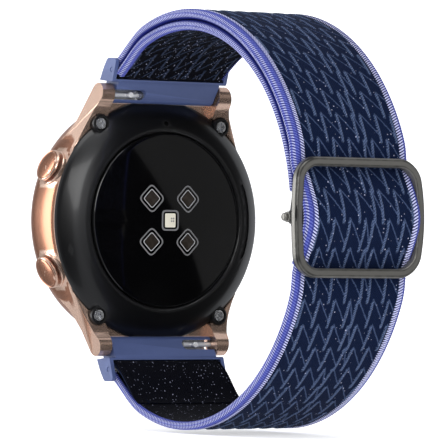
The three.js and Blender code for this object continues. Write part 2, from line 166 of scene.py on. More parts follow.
def inset(points: Sequence[Point], distance: float) -> list[Point]:
    """Moves every point of a closed outline inwards, along the mean of its sides' normals.

    Args:
        points: Points in order.
        distance: How far each point moves.

    Returns:
        The smaller outline.
    """
    p = np.asarray(points, float)
    area = np.sum(p[:, 0] * np.roll(p[:, 1], -1) - np.roll(p[:, 0], -1) * p[:, 1])
    side = np.roll(p, -1, 0) - np.roll(p, 1, 0)
    normal = np.stack([-side[:, 1], side[:, 0]], 1) * math.copysign(1, area)
    normal /= np.linalg.norm(normal, axis=1, keepdims=True) + 1e-9
    return [tuple(q) for q in p + normal * distance]


# ---- Solids ---------------------------------------------------------------------------------
def loft(rings: Sequence[np.ndarray], round_trip: bool = False) -> Part:
    """Skins a row of closed rings.

    Args:
        rings: Rings with the same number of points, each an array of x, y, z.
        round_trip: Joins the last ring to the first. Otherwise both ends are capped.

    Returns:
        A closed part with its faces pointing out.
    """
    grid = np.asarray(rings, float)
    n, m = grid.shape[:2]
    spans = n if round_trip else n - 1
    i = np.arange(spans)[:, None] * m
    nxt = (np.arange(1, spans + 1)[:, None] % n) * m
    j = np.arange(m)[None, :]
    k = (j + 1) % m
    quads = np.stack([i + j, i + k, nxt + k, nxt + j], -1).reshape(-1, 4)
    faces: Faces = [tuple(q) for q in quads.tolist()]
    if not round_trip:
        faces.append(tuple(range(m - 1, -1, -1)))
        faces.append(tuple(range((n - 1) * m, n * m)))
    points = grid.reshape(-1, 3)
    a, b, c, d = (points[quads[:, q]] for q in range(4))
    volume = np.einsum("ij,ij->", a, np.cross(b, c)) + np.einsum("ij,ij->", a, np.cross(c, d))
    for cap in faces[len(quads):]:
        ring = points[list(cap)]
        first = np.broadcast_to(ring[0], ring[1:-1].shape)
        volume += np.einsum("ij,ij->", first, np.cross(ring[1:-1], ring[2:]))
    return points, faces if volume > 0 else [f[::-1] for f in faces]


def turned(profile: Sequence[Point], segments: int = 96) -> Part:
    """Turns a closed profile of (radius, y), clear of the axis, about the Y axis.

    Args:
        profile: Points of (radius, y) in order.
        segments: How many flat sides the turn has.

    Returns:
        The closed part.
    """
    p = np.asarray(profile, float)
    angles = np.linspace(0, 2 * math.pi, segments, endpoint=False)
    rings = [np.stack([p[:, 0] * math.cos(a), p[:, 1], p[:, 0] * math.sin(a)], 1) for a in angles]
    return loft(rings, round_trip=True)


def capped_turn(profile: Sequence[Point], segments: int = 48) -> Part:
    """Turns an open profile of (radius, y) about the Y axis and closes it with flat ends.

    Args:
        profile: Points of (radius, y) in order.
        segments: How many flat sides the turn has.

    Returns:
        The closed part.
    """
    angles = np.linspace(0, 2 * math.pi, segments, endpoint=False)
    rings = [np.stack([r * np.cos(angles), np.full(segments, y), r * np.sin(angles)], 1) for r, y in profile]
    return loft(rings)


def prism(
    shape: Sequence[Point],
    x0: float,
    x1: float,
    edge: float = 0.0,
    flare: Callable[[np.ndarray], np.ndarray] | None = None,
) -> Part:
    """A solid along X whose section in (y, z) is one outline.

    Args:
        shape: The outline.
        x0: Where it starts.
        x1: Where it ends.
        edge: Radius of the rounding along both ends.
        flare: Gives the far end's x for an array of (y, z) points.

    Returns:
        The closed part.
    """
    turns = np.radians((0, 30, 60, 90)) if edge else np.zeros(1)
    low = [(edge * (1 - math.sin(a)), edge * (1 - math.cos(a))) for a in turns]
    levels = [(x0 + along, inwards) for inwards, along in low]
    levels += [(x1 - along, inwards) for inwards, along in reversed(low)]
    rings = []
    for x, inwards in levels:
        p = np.asarray(inset(shape, inwards) if inwards > 1e-9 else shape, float)
        xs = np.full(len(p), x)
        if flare is not None:
            share = (x - x0) / (x1 - x0)
            xs = x0 + (flare(p) - x0) * share
        rings.append(np.column_stack([xs, p]))
    return loft(rings)


def rod(radius: float, x0: float, x1: float, y: float, z: float, edge: float = 0.1, sides: int = 32) -> Part:
    """A round rod along X with rounded ends, centred on (y, z)."""
    return prism(arc((y, z), radius, 0, 360 - 360 / sides, sides - 1), x0, x1, edge)


def block(low: Sequence[float], high: Sequence[float]) -> Part:
    """A plain box between two corners, used as a cutting tool."""
    (x0, y0, z0), (x1, y1, z1) = low, high
    return prism([(y0, z0), (y1, z0), (y1, z1), (y0, z1)], x0, x1)


def moved(part: Part, matrix: Matrix) -> Part:
    """The part carried by a matrix in millimetres."""
    m = np.array(matrix)
    return part[0] @ m[:3, :3].T + m[:3, 3], part[1]


def mirrored(part: Part, sx: int, sz: int) -> Part:
    """The part mirrored in X where sx is -1, and in Z where sz is -1."""
    points = part[0] * np.array([sx, 1, sz])
    return points, part[1] if sx * sz > 0 else [f[::-1] for f in part[1]]


def joined(*parts: Part) -> Part:
    """Several parts as one, each keeping its own shell."""
    points, faces, start = [], [], 0
    for p, f in parts:
        points.append(p)
        faces += [tuple(v + start for v in face) for face in f]
        start += len(p)
    return np.vstack(points), faces


def mesh_of(name: str, part: Part) -> bpy.types.Object:
    """Makes a mesh object of a part, in metres, and links it to the scene.

    Args:
        name: Its name.
        part: The part in millimetres.

    Returns:
        The new object.
    """
    mesh = bpy.data.meshes.new(name)
    mesh.from_pydata((part[0] * MM).tolist(), [], part[1])
    mesh.update()
    made = bpy.data.objects.new(name, mesh)
    bpy.context.scene.collection.objects.link(made)
    return made


def settle(made: bpy.types.Object) -> None:
    """Applies every modifier on an object to its mesh.

    Args:
        made: The object.
    """
    graph = bpy.context.evaluated_depsgraph_get()
    result = bpy.data.meshes.new_from_object(made.evaluated_get(graph))
    made.modifiers.clear()
    made.data = result


def combine(made: bpy.types.Object, add: Iterable[Part] = (), cut: Iterable[Part] = ()) -> None:
    """Joins parts to an object and then cuts parts out of it."""
    for operation, tools in (("UNION", add), ("DIFFERENCE", cut)):
        for tool in tools:
            cutter = mesh_of("tool", tool)
            step = made.modifiers.new("step", "BOOLEAN")
            step.operation, step.solver, step.object = operation, "EXACT", cutter
            settle(made)
            bpy.data.objects.remove(cutter)


def soften(made: bpy.types.Object, width: float, angle: float = 32, segments: int = 2) -> None:
    """Rounds the edges of an object that are sharper than an angle in degrees.

    Args:
        made: The object.
        width: Width of the rounding in millimetres.
        angle: Edges sharper than this, in degrees, are rounded.
        segments: Spans across each rounding.
    """
    clean = bmesh.new()
    clean.from_mesh(made.data)
    bmesh.ops.remove_doubles(clean, verts=clean.verts, dist=2e-6)
    bmesh.ops.dissolve_limit(
        clean, angle_limit=math.radians(0.4), verts=clean.verts, edges=clean.edges,
        use_dissolve_boundaries=False,
    )
    clean.to_mesh(made.data)
    clean.free()
    rounding = made.modifiers.new("edges", "BEVEL")
    rounding.width, rounding.segments = width * MM, segments
    rounding.limit_method, rounding.angle_limit = "ANGLE", math.radians(angle)
    rounding.use_clamp_overlap = True
    settle(made)


def finish_piece(
    made: bpy.types.Object,
    material: bpy.types.Material,
    body: str | None,
    replaces: Sequence[str] = (),
    sharp: float = 38,
    even: bool = True,
) -> bpy.types.Object:
    """Shades a piece, dresses it and ties it to the frame.

    Args:
        made: The piece.
        material: Its material.
        body: The CAD body that it rides on, or None for a piece tied to no body.
        replaces: CAD nodes that it stands for.
        sharp: Edges sharper than this angle in degrees stay sharp.
        even: Whether large faces keep flat reflections beside small ones.

    Returns:
        The same piece.
    """
    mesh = made.data
    mesh.materials.clear()
    mesh.materials.append(material)
    mesh.shade_smooth()
    mesh.set_sharp_from_angle(angle=math.radians(sharp))
    if even:
        weights = made.modifiers.new("normals", "WEIGHTED_NORMAL")
        weights.keep_sharp = True
        settle(made)
        mesh = made.data
    if body is not None:
        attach(made, body)
    for node in replaces:
        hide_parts(node)
    log.info("%s: %d faces on %s", made.name, len(mesh.polygons), body or "two bodies")
    return made


# ---- Node graphs ----------------------------------------------------------------------------
class Graph:
    """Short calls for building a node tree."""

    def __init__(self, tree: bpy.types.NodeTree) -> None:
        """Keeps the tree that nodes are added to."""
        self.tree = tree

    def put(self, socket: bpy.types.NodeSocket, value: Socket) -> None:
        """Links a socket's value, or sets it on the socket itself."""
        if isinstance(value, bpy.types.NodeSocket):
            self.tree.links.new(value, socket)
        else:
            socket.default_value = value

    def node(
        self, kind: str, values: dict[str | int, Socket] | None = None, **settings: object,
    ) -> bpy.types.Node:
        """Adds a node, sets its properties and fills its inputs by name or number.

        Args:
            kind: The node's type.
            values: Inputs by name or number, each a value or a socket.
            **settings: The node's properties.

        Returns:
            The node.
        """
        made = self.tree.nodes.new(kind)
        for name, value in settings.items():
            setattr(made, name, value)
        for key, value in (values or {}).items():
            self.put(made.inputs[key], value)
        return made

    def calc(self, operation: str, *terms: Socket) -> bpy.types.NodeSocket:
        """One sum on numbers."""
        made = self.node("ShaderNodeMath", dict(enumerate(terms)), operation=operation)
        return made.outputs[0]

    def step(self, value: Socket, low: float, high: float) -> bpy.types.NodeSocket:
        """Rises smoothly from 0 at low to 1 at high, or falls where high is below low."""
        made = self.node(
            "ShaderNodeMapRange",
            {"Value": value, "From Min": low, "From Max": high},
            interpolation_type="SMOOTHSTEP",
        )
        return made.outputs["Result"]

    def scaled(self, value: Socket, low: float, high: float) -> bpy.types.NodeSocket:
        """Takes a value from 0 to 1 onto low to high."""
        made = self.node("ShaderNodeMapRange", {"Value": value, "To Min": low, "To Max": high})
        return made.outputs["Result"]

    def mix(self, share: Socket, first: Socket, second: Socket) -> bpy.types.NodeSocket:
        """Mixes two colours.

        Args:
            share: How much of the second colour is taken.
            first: A colour or a socket.
            second: A colour or a socket.

        Returns:
            The mixed colour.
        """
        pair = [(*c, 1.0) if isinstance(c, tuple) else c for c in (first, second)]
        made = self.node("ShaderNodeMix", {0: share, 6: pair[0], 7: pair[1]}, data_type="RGBA")
        return made.outputs[2]

    def noise(self, place: Socket, scale: float, detail: float = 2.0) -> bpy.types.NodeSocket:
        """Smooth noise from 0 to 1."""
        made = self.node("ShaderNodeTexNoise", {"Vector": place, "Scale": scale, "Detail": detail})
        return made.outputs["Fac"]

    def use(self, group: bpy.types.NodeTree, values: dict[str, Socket]) -> bpy.types.Node:
        """Places a node group with its own values.

        Args:
            group: The node group.
            values: Inputs by name or number, each a value or a socket.

        Returns:
            The group's node.
        """
        made = self.tree.nodes.new("ShaderNodeGroup")
        made.node_tree = group
        for key, value in values.items():
            self.put(made.inputs[key], value)
        return made


def effect(
    name: str,
    inputs: dict[str, float | tuple],
    outputs: dict[str, str],
    build: Callable[[Graph, dict[str, bpy.types.NodeSocket]], dict[str, Socket]],
) -> bpy.types.NodeTree:
    """Makes a shader node group.

    Args:
        name: The group's name.
        inputs: Input names with their values: a number, or three numbers for a vector.
        outputs: Output names with "Float" or "Color".
        build: Adds the nodes, and gives what each output takes.

    Returns:
        The group.
    """
    tree = bpy.data.node_groups.new(name, "ShaderNodeTree")
    for label, value in inputs.items():
        kind = "NodeSocketVector" if isinstance(value, tuple) else "NodeSocketFloat"
        tree.interface.new_socket(name=label, in_out="INPUT", socket_type=kind).default_value = value
    for label, kind in outputs.items():
        tree.interface.new_socket(name=label, in_out="OUTPUT", socket_type=f"NodeSocket{kind}")
    graph = Graph(tree)
    source = tree.nodes.new("NodeGroupInput")
    sink = tree.nodes.new("NodeGroupOutput")
    for label, value in build(graph, {s.name: s for s in source.outputs if s.name}).items():
        graph.put(sink.inputs[label], value)
    return tree


class Effects:
    """The node groups that several finishes share, built once."""

    def __init__(self) -> None:
        """Builds every group."""
        self.grain = effect(
            "surface grain", {"Place": (0.0, 0.0, 0.0), "Size": 0.1, "Patch": 4.0},
            {"Height": "Float", "Cloud": "Float"}, self._grain,
        )
        # Edge mask: rubbed edges on the plastics, and a painted highlight or painted shade on the metals' edges.
        self.edge_rub_and_painted_light = effect(
            "edge rubbing and painted edge light", {"Place": (0.0, 0.0, 0.0), "Reach": 0.04}, {"Edge": "Float"}, self._edge_rub_and_painted_light,
        )
        self.brushing = effect(
            "brushed lines", {"Place": (0.0, 0.0, 0.0), "Stretch": (1.0, 1.0, 1.0)},
            {"Height": "Float"}, self._brushing,
        )
        self.dust = effect(
            "fine dust", {"Place": (0.0, 0.0, 0.0), "Amount": 0.1}, {"Dust": "Float"}, self._dust,
        )

    @staticmethod
    def _grain(g: Graph, s: dict[str, bpy.types.NodeSocket]) -> dict[str, Socket]:
        """A fine speckle of a set size in millimetres, and a slow cloud.

        Args:
            g: Graph that the nodes are added to.
            s: The group's input sockets by name.

        Returns:
            What each output takes.
        """
        to_mm = {0: s["Place"], 1: (1000.0, 1000.0, 1000.0)}
        place = g.node("ShaderNodeVectorMath", to_mm, operation="MULTIPLY")
        fine = g.node("ShaderNodeTexNoise", {"Vector": place.outputs[0], "Detail": 3.0})
        g.put(fine.inputs["Scale"], g.calc("DIVIDE", 1.0, s["Size"]))
        slow = g.node("ShaderNodeTexNoise", {"Vector": place.outputs[0], "Detail": 2.0})
        g.put(slow.inputs["Scale"], g.calc("DIVIDE", 1.0, s["Patch"]))
        return {"Height": fine.outputs["Fac"], "Cloud": slow.outputs["Fac"]}

    @staticmethod
    def _edge_rub_and_painted_light(g: Graph, s: dict[str, bpy.types.NodeSocket]) -> dict[str, Socket]:
        """Where outer edges are picked out, broken up by noise: rubbed edges on plastics, and on metals a painted
        highlight or painted shade along the edge.

        Args:
            g: Graph that the nodes are added to.
            s: The group's input sockets by name.

        Returns:
            What each output takes.
        """
        edge = g.node("ShaderNodeNewGeometry").outputs["Pointiness"]
        over = g.calc("DIVIDE", g.calc("SUBTRACT", edge, 0.5), s["Reach"])
        broken = g.calc("MULTIPLY", over, g.scaled(g.noise(s["Place"], 900.0), 0.5, 1.3))
        return {"Edge": g.step(broken, 0.1, 1.0)}

    @staticmethod
    def _brushing(g: Graph, s: dict[str, bpy.types.NodeSocket]) -> dict[str, Socket]:
        """Fine lines, long in the direction with the smallest stretch."""
        place = g.node("ShaderNodeVectorMath", {0: s["Place"], 1: s["Stretch"]}, operation="MULTIPLY")
        return {"Height": g.noise(place.outputs[0], 1000.0, 4.0)}

    @staticmethod
    def _dust(g: Graph, s: dict[str, bpy.types.NodeSocket]) -> dict[str, Socket]:
        """Sparse specks and a faint haze.

        Args:
            g: Graph that the nodes are added to.
            s: The group's input sockets by name.

        Returns:
            What each output takes.
        """
        specks = g.node("ShaderNodeTexVoronoi", {"Vector": s["Place"], "Scale": 900.0})
        near = g.step(specks.outputs["Distance"], 0.12, 0.05)
        haze = g.step(g.noise(s["Place"], 120.0, 4.0), 0.45, 0.8)
        return {"Dust": g.calc("MULTIPLY", g.calc("ADD", near, haze), s["Amount"])}


def new_material(name: str) -> tuple[bpy.types.Material, Graph, bpy.types.Node, bpy.types.NodeSocket]:
    """An empty material: itself, its graph, its Principled shader and the object's coordinates.

    Args:
        name: Its name.

    Returns:
        The material, its graph, its shader and the object's coordinates.
    """
    material = bpy.data.materials.new(name)
    material.use_nodes = True
    graph = Graph(material.node_tree)
    shader = material.node_tree.nodes["Principled BSDF"]
    place = graph.node("ShaderNodeTexCoord").outputs["Object"]
    return material, graph, shader, place


def bumped(g: Graph, shader: bpy.types.Node, height: Socket, depth: float, strength: float = 1.0) -> None:
    """Feeds a height from 0 to 1, worth a depth in millimetres, to the shader's normal."""
    bump = g.node("ShaderNodeBump", {"Height": height, "Distance": depth * MM, "Strength": strength})
    g.put(shader.inputs["Normal"], bump.outputs["Normal"])


# ---- Finishes -------------------------------------------------------------------------------
@dataclass(frozen=True)
class Metal:
    """A satin or bright metal with a painted highlight along its edges, or a painted shade where the edge colour is
    dark.
    """

    colour: Colour
    roughness: float
    # Colour painted on the edges: a painted highlight when light, a painted shade when dark.
    painted_edge_colour: Colour
    lines: tuple[float, float, float] = (1.0, 1.0, 1.0)
    line_depth: float = 0.002
    metallic: float = 1.0
    painted_edge_reach: float = 0.07

    def material(self, name: str, effects: Effects) -> bpy.types.Material:
        """Builds the finish.

        Args:
            name: Its name.
            effects: The shared node groups.

        Returns:
            The material.
        """
        made, g, shader, place = new_material(name)
        grain = g.use(effects.grain, {"Place": place, "Size": 0.12, "Patch": 5.0})
        # The edge mask takes the painted edge colour: painted highlight on the bright metals, painted shade on the
        # gunmetal.
        edge_rub_and_painted_light = g.use(effects.edge_rub_and_painted_light, {"Place": place, "Reach": self.painted_edge_reach})
        brushing = g.use(effects.brushing, {"Place": place, "Stretch": self.lines})
        darker = tuple(0.82 * c for c in self.colour)
        tone = g.mix(g.scaled(grain.outputs["Cloud"], 0.0, 0.35), self.colour, darker)
        g.put(shader.inputs["Base Color"], g.mix(edge_rub_and_painted_light.outputs["Edge"], tone, self.painted_edge_colour))
        rough = g.scaled(grain.outputs["Cloud"], self.roughness * 0.85, self.roughness * 1.2)
        g.put(shader.inputs["Roughness"], rough)
        shader.inputs["Metallic"].default_value = self.metallic
        bumped(g, shader, brushing.outputs["Height"], self.line_depth)
        return made


@dataclass(frozen=True)
class Polymer:
    """A moulded plastic, rubber or lacquer."""

    colour: Colour
    roughness: float
    grain: float = 0.1
    grain_depth: float = 0.004
    coat: float = 0.0
    dust: float = 0.02
    shade: float = 0.75

    def material(self, name: str, effects: Effects) -> bpy.types.Material:
        """Builds the finish.

        Args:
            name: Its name.
            effects: The shared node groups.

        Returns:
            The material.
        """
        made, g, shader, place = new_material(name)
        grain = g.use(effects.grain, {"Place": place, "Size": self.grain, "Patch": 6.0})
        dust = g.use(effects.dust, {"Place": place, "Amount": self.dust})
        edge_rub_and_painted_light = g.use(effects.edge_rub_and_painted_light, {"Place": place, "Reach": 0.08})
        darker = tuple(self.shade * c for c in self.colour)
        lighter = tuple(min(1.0, 1.25 * c + 0.01) for c in self.colour)
        tone = g.mix(g.scaled(grain.outputs["Cloud"], 0.0, 1.0), self.colour, darker)
        rubbed = g.mix(g.calc("MULTIPLY", edge_rub_and_painted_light.outputs["Edge"], 0.6), tone, lighter)
        g.put(shader.inputs["Base Color"], g.mix(dust.outputs["Dust"], rubbed, (0.5, 0.5, 0.52)))
        haze = g.calc("MULTIPLY", dust.outputs["Dust"], 0.6)
        rough = g.scaled(grain.outputs["Cloud"], self.roughness * 0.85, self.roughness * 1.15)
        g.put(shader.inputs["Roughness"], g.calc("ADD", rough, haze))
        shader.inputs["Coat Weight"].default_value = self.coat
        shader.inputs["Coat Roughness"].default_value = 0.08
        bumped(g, shader, grain.outputs["Height"], self.grain_depth)
        return made


@dataclass(frozen=True)
class CircuitBoard:
    """Solder mask with traces and pads."""

    mask: Colour = (0.012, 0.075, 0.035)
    trace: Colour = (0.03, 0.16, 0.07)
    pad: Colour = (0.62, 0.46, 0.2)
    pitch: float = 1.1

    def material(self, name: str, effects: Effects) -> bpy.types.Material:
        """Builds the finish.

        Args:
            name: Its name.
            effects: The shared node groups.

        Returns:
            The material.
        """
        made, g, shader, place = new_material(name)
        turned_flat = g.node("ShaderNodeMapping", {"Vector": place, "Rotation": (math.radians(90), 0.0, 0.0)})
        tracks = g.node(
            "ShaderNodeTexBrick",
            {"Vector": turned_flat.outputs[0], "Scale": 1 / (self.pitch * MM), "Mortar Size": 0.09},
        ).outputs["Fac"]
        dots = g.node("ShaderNodeTexVoronoi", {"Vector": turned_flat.outputs[0], "Scale": 1 / (1.6 * MM)})
        pads = g.step(dots.outputs["Distance"], 0.2, 0.14)
        grain = g.use(effects.grain, {"Place": place, "Size": 0.08, "Patch": 4.0})
        base = g.mix(grain.outputs["Cloud"], self.mask, tuple(0.6 * c for c in self.mask))
        g.put(shader.inputs["Base Color"], g.mix(pads, g.mix(tracks, base, self.trace), self.pad))
        g.put(shader.inputs["Metallic"], pads)
        g.put(shader.inputs["Roughness"], g.scaled(pads, 0.45, 0.25))
        bumped(g, shader, g.calc("ADD", tracks, pads), 0.03)
        return made


@dataclass(frozen=True)
class WireCoil:
    """Enamelled wire wound flat about the Y axis."""

    colour: Colour = (0.55, 0.2, 0.07)
    # Painted shade in the hollows between the wire's turns.
    turn_gap_shade: Colour = (0.12, 0.03, 0.01)
    wire: float = 0.28

    def material(self, name: str, effects: Effects) -> bpy.types.Material:
        """Builds the finish.

        Args:
            name: Its name.
            effects: The shared node groups.

        Returns:
            The material.
        """
        made, g, shader, place = new_material(name)
        flat = g.node("ShaderNodeVectorMath", {0: place, 1: (1.0, 0.0, 1.0)}, operation="MULTIPLY")
        radius = g.node("ShaderNodeVectorMath", {0: flat.outputs[0]}, operation="LENGTH").outputs["Value"]
        turn = g.calc("SINE", g.calc("MULTIPLY", radius, 2 * math.pi / (self.wire * MM)))
        crown = g.scaled(g.calc("ABSOLUTE", turn), 0.0, 1.0)
        grain = g.use(effects.grain, {"Place": place, "Size": 0.1, "Patch": 3.0})
        wire = g.mix(grain.outputs["Cloud"], self.colour, tuple(0.7 * c for c in self.colour))
        # Darker between the turns: painted shade in the hollows between wires.
        g.put(shader.inputs["Base Color"], g.mix(crown, self.turn_gap_shade, wire))
        shader.inputs["Metallic"].default_value = 1.0
        g.put(shader.inputs["Roughness"], g.scaled(grain.outputs["Height"], 0.25, 0.42))
        bumped(g, shader, crown, 0.1)
        return made


@dataclass(frozen=True)
class Weave:
    """The elastic band's weave: rows of raised strokes on a dark knit, and ribbed edges.

    The same sizes shape the mesh's relief and the material, which read one mesh attribute: the
    place across the band, the place along it, and the distance round the edge from its middle.
    """

    column: float = 2.9
    narrow_column: float = 1.5
    row: float = 4.1
    stroke: float = 5.3
    row_shift: float = 1.07
    cord_half: float = 0.36
    thread_half: float = 0.15
    thread_share: float = 0.72
    rib: float = 0.42
    rib_slant: float = 0.5
    selvedge: float = 1.95
    inner_selvedge: float = 1.0
    far_cut: float = 0.5
    yarn: float = 0.42
    cord_height: float = 0.13
    thread_height: float = 0.07
    rib_height: float = 0.09
    yarn_height: float = 0.025
    base: Colour = (0.0015, 0.0054, 0.0230)
    base_light: Colour = (0.006, 0.016, 0.058)
    back: Colour = (0.0005, 0.0007, 0.0026)
    back_light: Colour = (0.004, 0.005, 0.014)
    back_cord: Colour = (0.028, 0.040, 0.078)
    cord: Colour = (0.026, 0.045, 0.105)
    cord_light: Colour = (0.105, 0.145, 0.255)
    thread: Colour = (0.055, 0.082, 0.165)
    sparkle: Colour = (0.60, 0.62, 0.85)
    # Edge colours: the mid one is the edge's own periwinkle; the light and white ones are a painted highlight on the
    # rib crests; the dark one is a painted shade between the ribs and also a dark line along the edge.
    dark_line_and_rib_shade: Colour = (0.008, 0.012, 0.11)
    edge_mid: Colour = (0.040, 0.050, 0.29)
    rib_crest_highlight: Colour = (0.13, 0.155, 0.50)
    # Painted shade in the gap between the two layers' facing edges.
    layer_gap_shade: Colour = (0.012, 0.018, 0.17)
    rib_white_highlight: Colour = (0.56, 0.58, 0.84)

    def _strokes(self, across: np.ndarray, down: np.ndarray) -> tuple[np.ndarray, np.ndarray]:
        """Cord and thread masks from 0 to 1, as numbers.

        Args:
            across: Place across the band.
            down: Place along the band.

        Returns:
            The two masks.
        """
        cord, thread = np.zeros_like(across), np.zeros_like(across)
        first = np.floor(down / self.row)
        for lag in (0, 1):
            index = first - lag
            t = (down - index * self.row) / self.stroke
            q = across - np.mod(index * self.row_shift, self.column)
            narrow = (q >= 0) & (q < self.narrow_column)
            width = np.where(narrow, self.narrow_column, self.column)
            wide = np.mod(q - self.narrow_column * (q >= self.narrow_column), self.column)
            inside = np.where(narrow, q, wide)
            ends = smoothstep(0.0, 0.12, t) * smoothstep(1.0, 0.82, t)
            near = np.minimum(inside, width - inside)
            cord = np.maximum(cord, smoothstep(self.cord_half, 0.1, near) * ends)
            off = np.abs(inside - width * t / self.thread_share) * 0.84
            runs = smoothstep(self.thread_half, 0.04, off) * (t > 0) * (t < self.thread_share)
            thread = np.maximum(thread, runs)
        return cord, thread

    def relief(self, across: np.ndarray, along: np.ndarray, edge: np.ndarray, side: np.ndarray) -> np.ndarray:
        """How far the surface stands proud, in millimetres.

        Args:
            across: Place across the band.
            along: Place along the band.
            edge: Distance round the edge from its middle.
            side: 1 where the strokes are drawn and 0 elsewhere.

        Returns:
            The heights.
        """
        reach = np.where(edge < 0, self.selvedge, self.inner_selvedge)
        border = smoothstep(0.15, 0.0, np.abs(edge) + self.far_cut * (across < 0) - reach)
        cord, thread = self._strokes(-across, -along)
        drawn = np.maximum(cord * self.cord_height, thread * self.thread_height) * side
        yarn = np.sin(2 * math.pi * across / self.yarn) * np.sin(2 * math.pi * along / self.yarn)
        rib = 0.5 + 0.5 * np.sin(2 * math.pi * (along + self.rib_slant * np.abs(edge)) / self.rib)
        seam = smoothstep(0.25, 0.0, np.abs(np.abs(edge) + self.far_cut * (across < 0) - reach - 0.1))
        face = drawn + self.yarn_height * yarn - 0.12 * seam
        return face * (1 - border) + (self.rib_height * rib + 0.05) * border

    def _stroke_group(self) -> bpy.types.NodeTree:
        """The cord and thread masks of one row, as a node group."""

        def build(g: Graph, s: dict[str, bpy.types.NodeSocket]) -> dict[str, Socket]:
            """Adds the nodes of one row of strokes.

            Args:
                g: Graph that the nodes are added to.
                s: The group's input sockets by name.

            Returns:
                What each output takes.
            """
            index = g.calc("SUBTRACT", g.calc("FLOOR", g.calc("DIVIDE", s["Down"], self.row)), s["Lag"])
            passed = g.calc("SUBTRACT", s["Down"], g.calc("MULTIPLY", index, self.row))
            t = g.calc("DIVIDE", passed, self.stroke)
            shift = g.calc("FLOORED_MODULO", g.calc("MULTIPLY", index, self.row_shift), self.column)
            q = g.calc("SUBTRACT", s["Across"], shift)
            past = g.calc("GREATER_THAN", q, self.narrow_column)
            narrow = g.calc("SUBTRACT", g.calc("GREATER_THAN", q, 0.0), past)
            unpast = g.calc("SUBTRACT", q, g.calc("MULTIPLY", past, self.narrow_column))
            wide = g.calc("FLOORED_MODULO", unpast, self.column)
            inside = g.calc("ADD", wide, g.calc("MULTIPLY", narrow, g.calc("SUBTRACT", q, wide)))
            width = g.calc("SUBTRACT", self.column, g.calc("MULTIPLY", narrow, self.column - self.narrow_column))
            near = g.calc("MINIMUM", inside, g.calc("SUBTRACT", width, inside))
            ends = g.calc("MULTIPLY", g.step(t, 0.0, 0.12), g.step(t, 1.0, 0.82))
            cord = g.calc("MULTIPLY", g.step(near, self.cord_half, 0.1), ends)
            aim = g.calc("DIVIDE", g.calc("MULTIPLY", width, t), self.thread_share)
            off = g.calc("MULTIPLY", g.calc("ABSOLUTE", g.calc("SUBTRACT", inside, aim)), 0.84)
            alive = g.calc("MULTIPLY", g.calc("GREATER_THAN", t, 0.0), g.calc("LESS_THAN", t, self.thread_share))
            return {"Cord": cord, "Thread": g.calc("MULTIPLY", g.step(off, self.thread_half, 0.04), alive)}

        return effect(
            "stroke row", {"Across": 0.0, "Down": 0.0, "Lag": 0.0}, {"Cord": "Float", "Thread": "Float"}, build,
        )

    def _edge_group(self) -> bpy.types.NodeTree:
        """The ribbed edge's colour and height, as a node group; the colour carries a painted highlight on the rib
        crests and a painted shade between them.
        """

        def build(g: Graph, s: dict[str, bpy.types.NodeSocket]) -> dict[str, Socket]:
            """Adds the nodes of the ribbed edge.

            Args:
                g: Graph that the nodes are added to.
                s: The group's input sockets by name.

            Returns:
                What each output takes.
            """
            lean = g.calc("MULTIPLY", s["Edge"], self.rib_slant)
            phase = g.calc("MULTIPLY", g.calc("ADD", s["Along"], lean), 2 * math.pi / self.rib)
            rib = g.scaled(g.calc("MULTIPLY", g.calc("ADD", g.calc("SINE", phase), 1.0), 0.5), 0.0, 1.0)
            frayed = g.calc("ADD", rib, g.scaled(s["Fuzz"], -0.35, 0.35))
            # Lighter on the rib crests and darker between them: painted highlight and painted shade over the edge's
            # own periwinkle.
            ridge_highlight = g.mix(g.step(frayed, 0.3, 0.85), self.edge_mid, self.rib_crest_highlight)
            rib_highlight_and_shade = g.mix(g.step(frayed, 0.3, 0.6), self.dark_line_and_rib_shade, self.rib_white_highlight)
            rim = g.step(s["Edge"], self.selvedge - 0.75, self.selvedge - 0.55)
            low = g.step(g.calc("ABSOLUTE", g.calc("SUBTRACT", s["Edge"], 0.25)), 0.26, 0.14)
            line = g.step(g.calc("ABSOLUTE", g.calc("SUBTRACT", s["Edge"], self.selvedge - 0.85)), 0.14, 0.03)
            drawn = g.mix(g.calc("MULTIPLY", low, 0.7), g.mix(rim, ridge_highlight, rib_highlight_and_shade), rib_highlight_and_shade)
            return {"Colour": g.mix(g.calc("MULTIPLY", line, 0.6), drawn, self.dark_line_and_rib_shade), "Rib": rib}

        return effect(
            "ribbed edge", {"Along": 0.0, "Edge": 0.0, "Fuzz": 0.5}, {"Colour": "Color", "Rib": "Float"}, build,
        )


class Face(Enum):
    """How a side of a band layer is woven."""

    STROKES = "strokes"
    PLAIN = "plain"


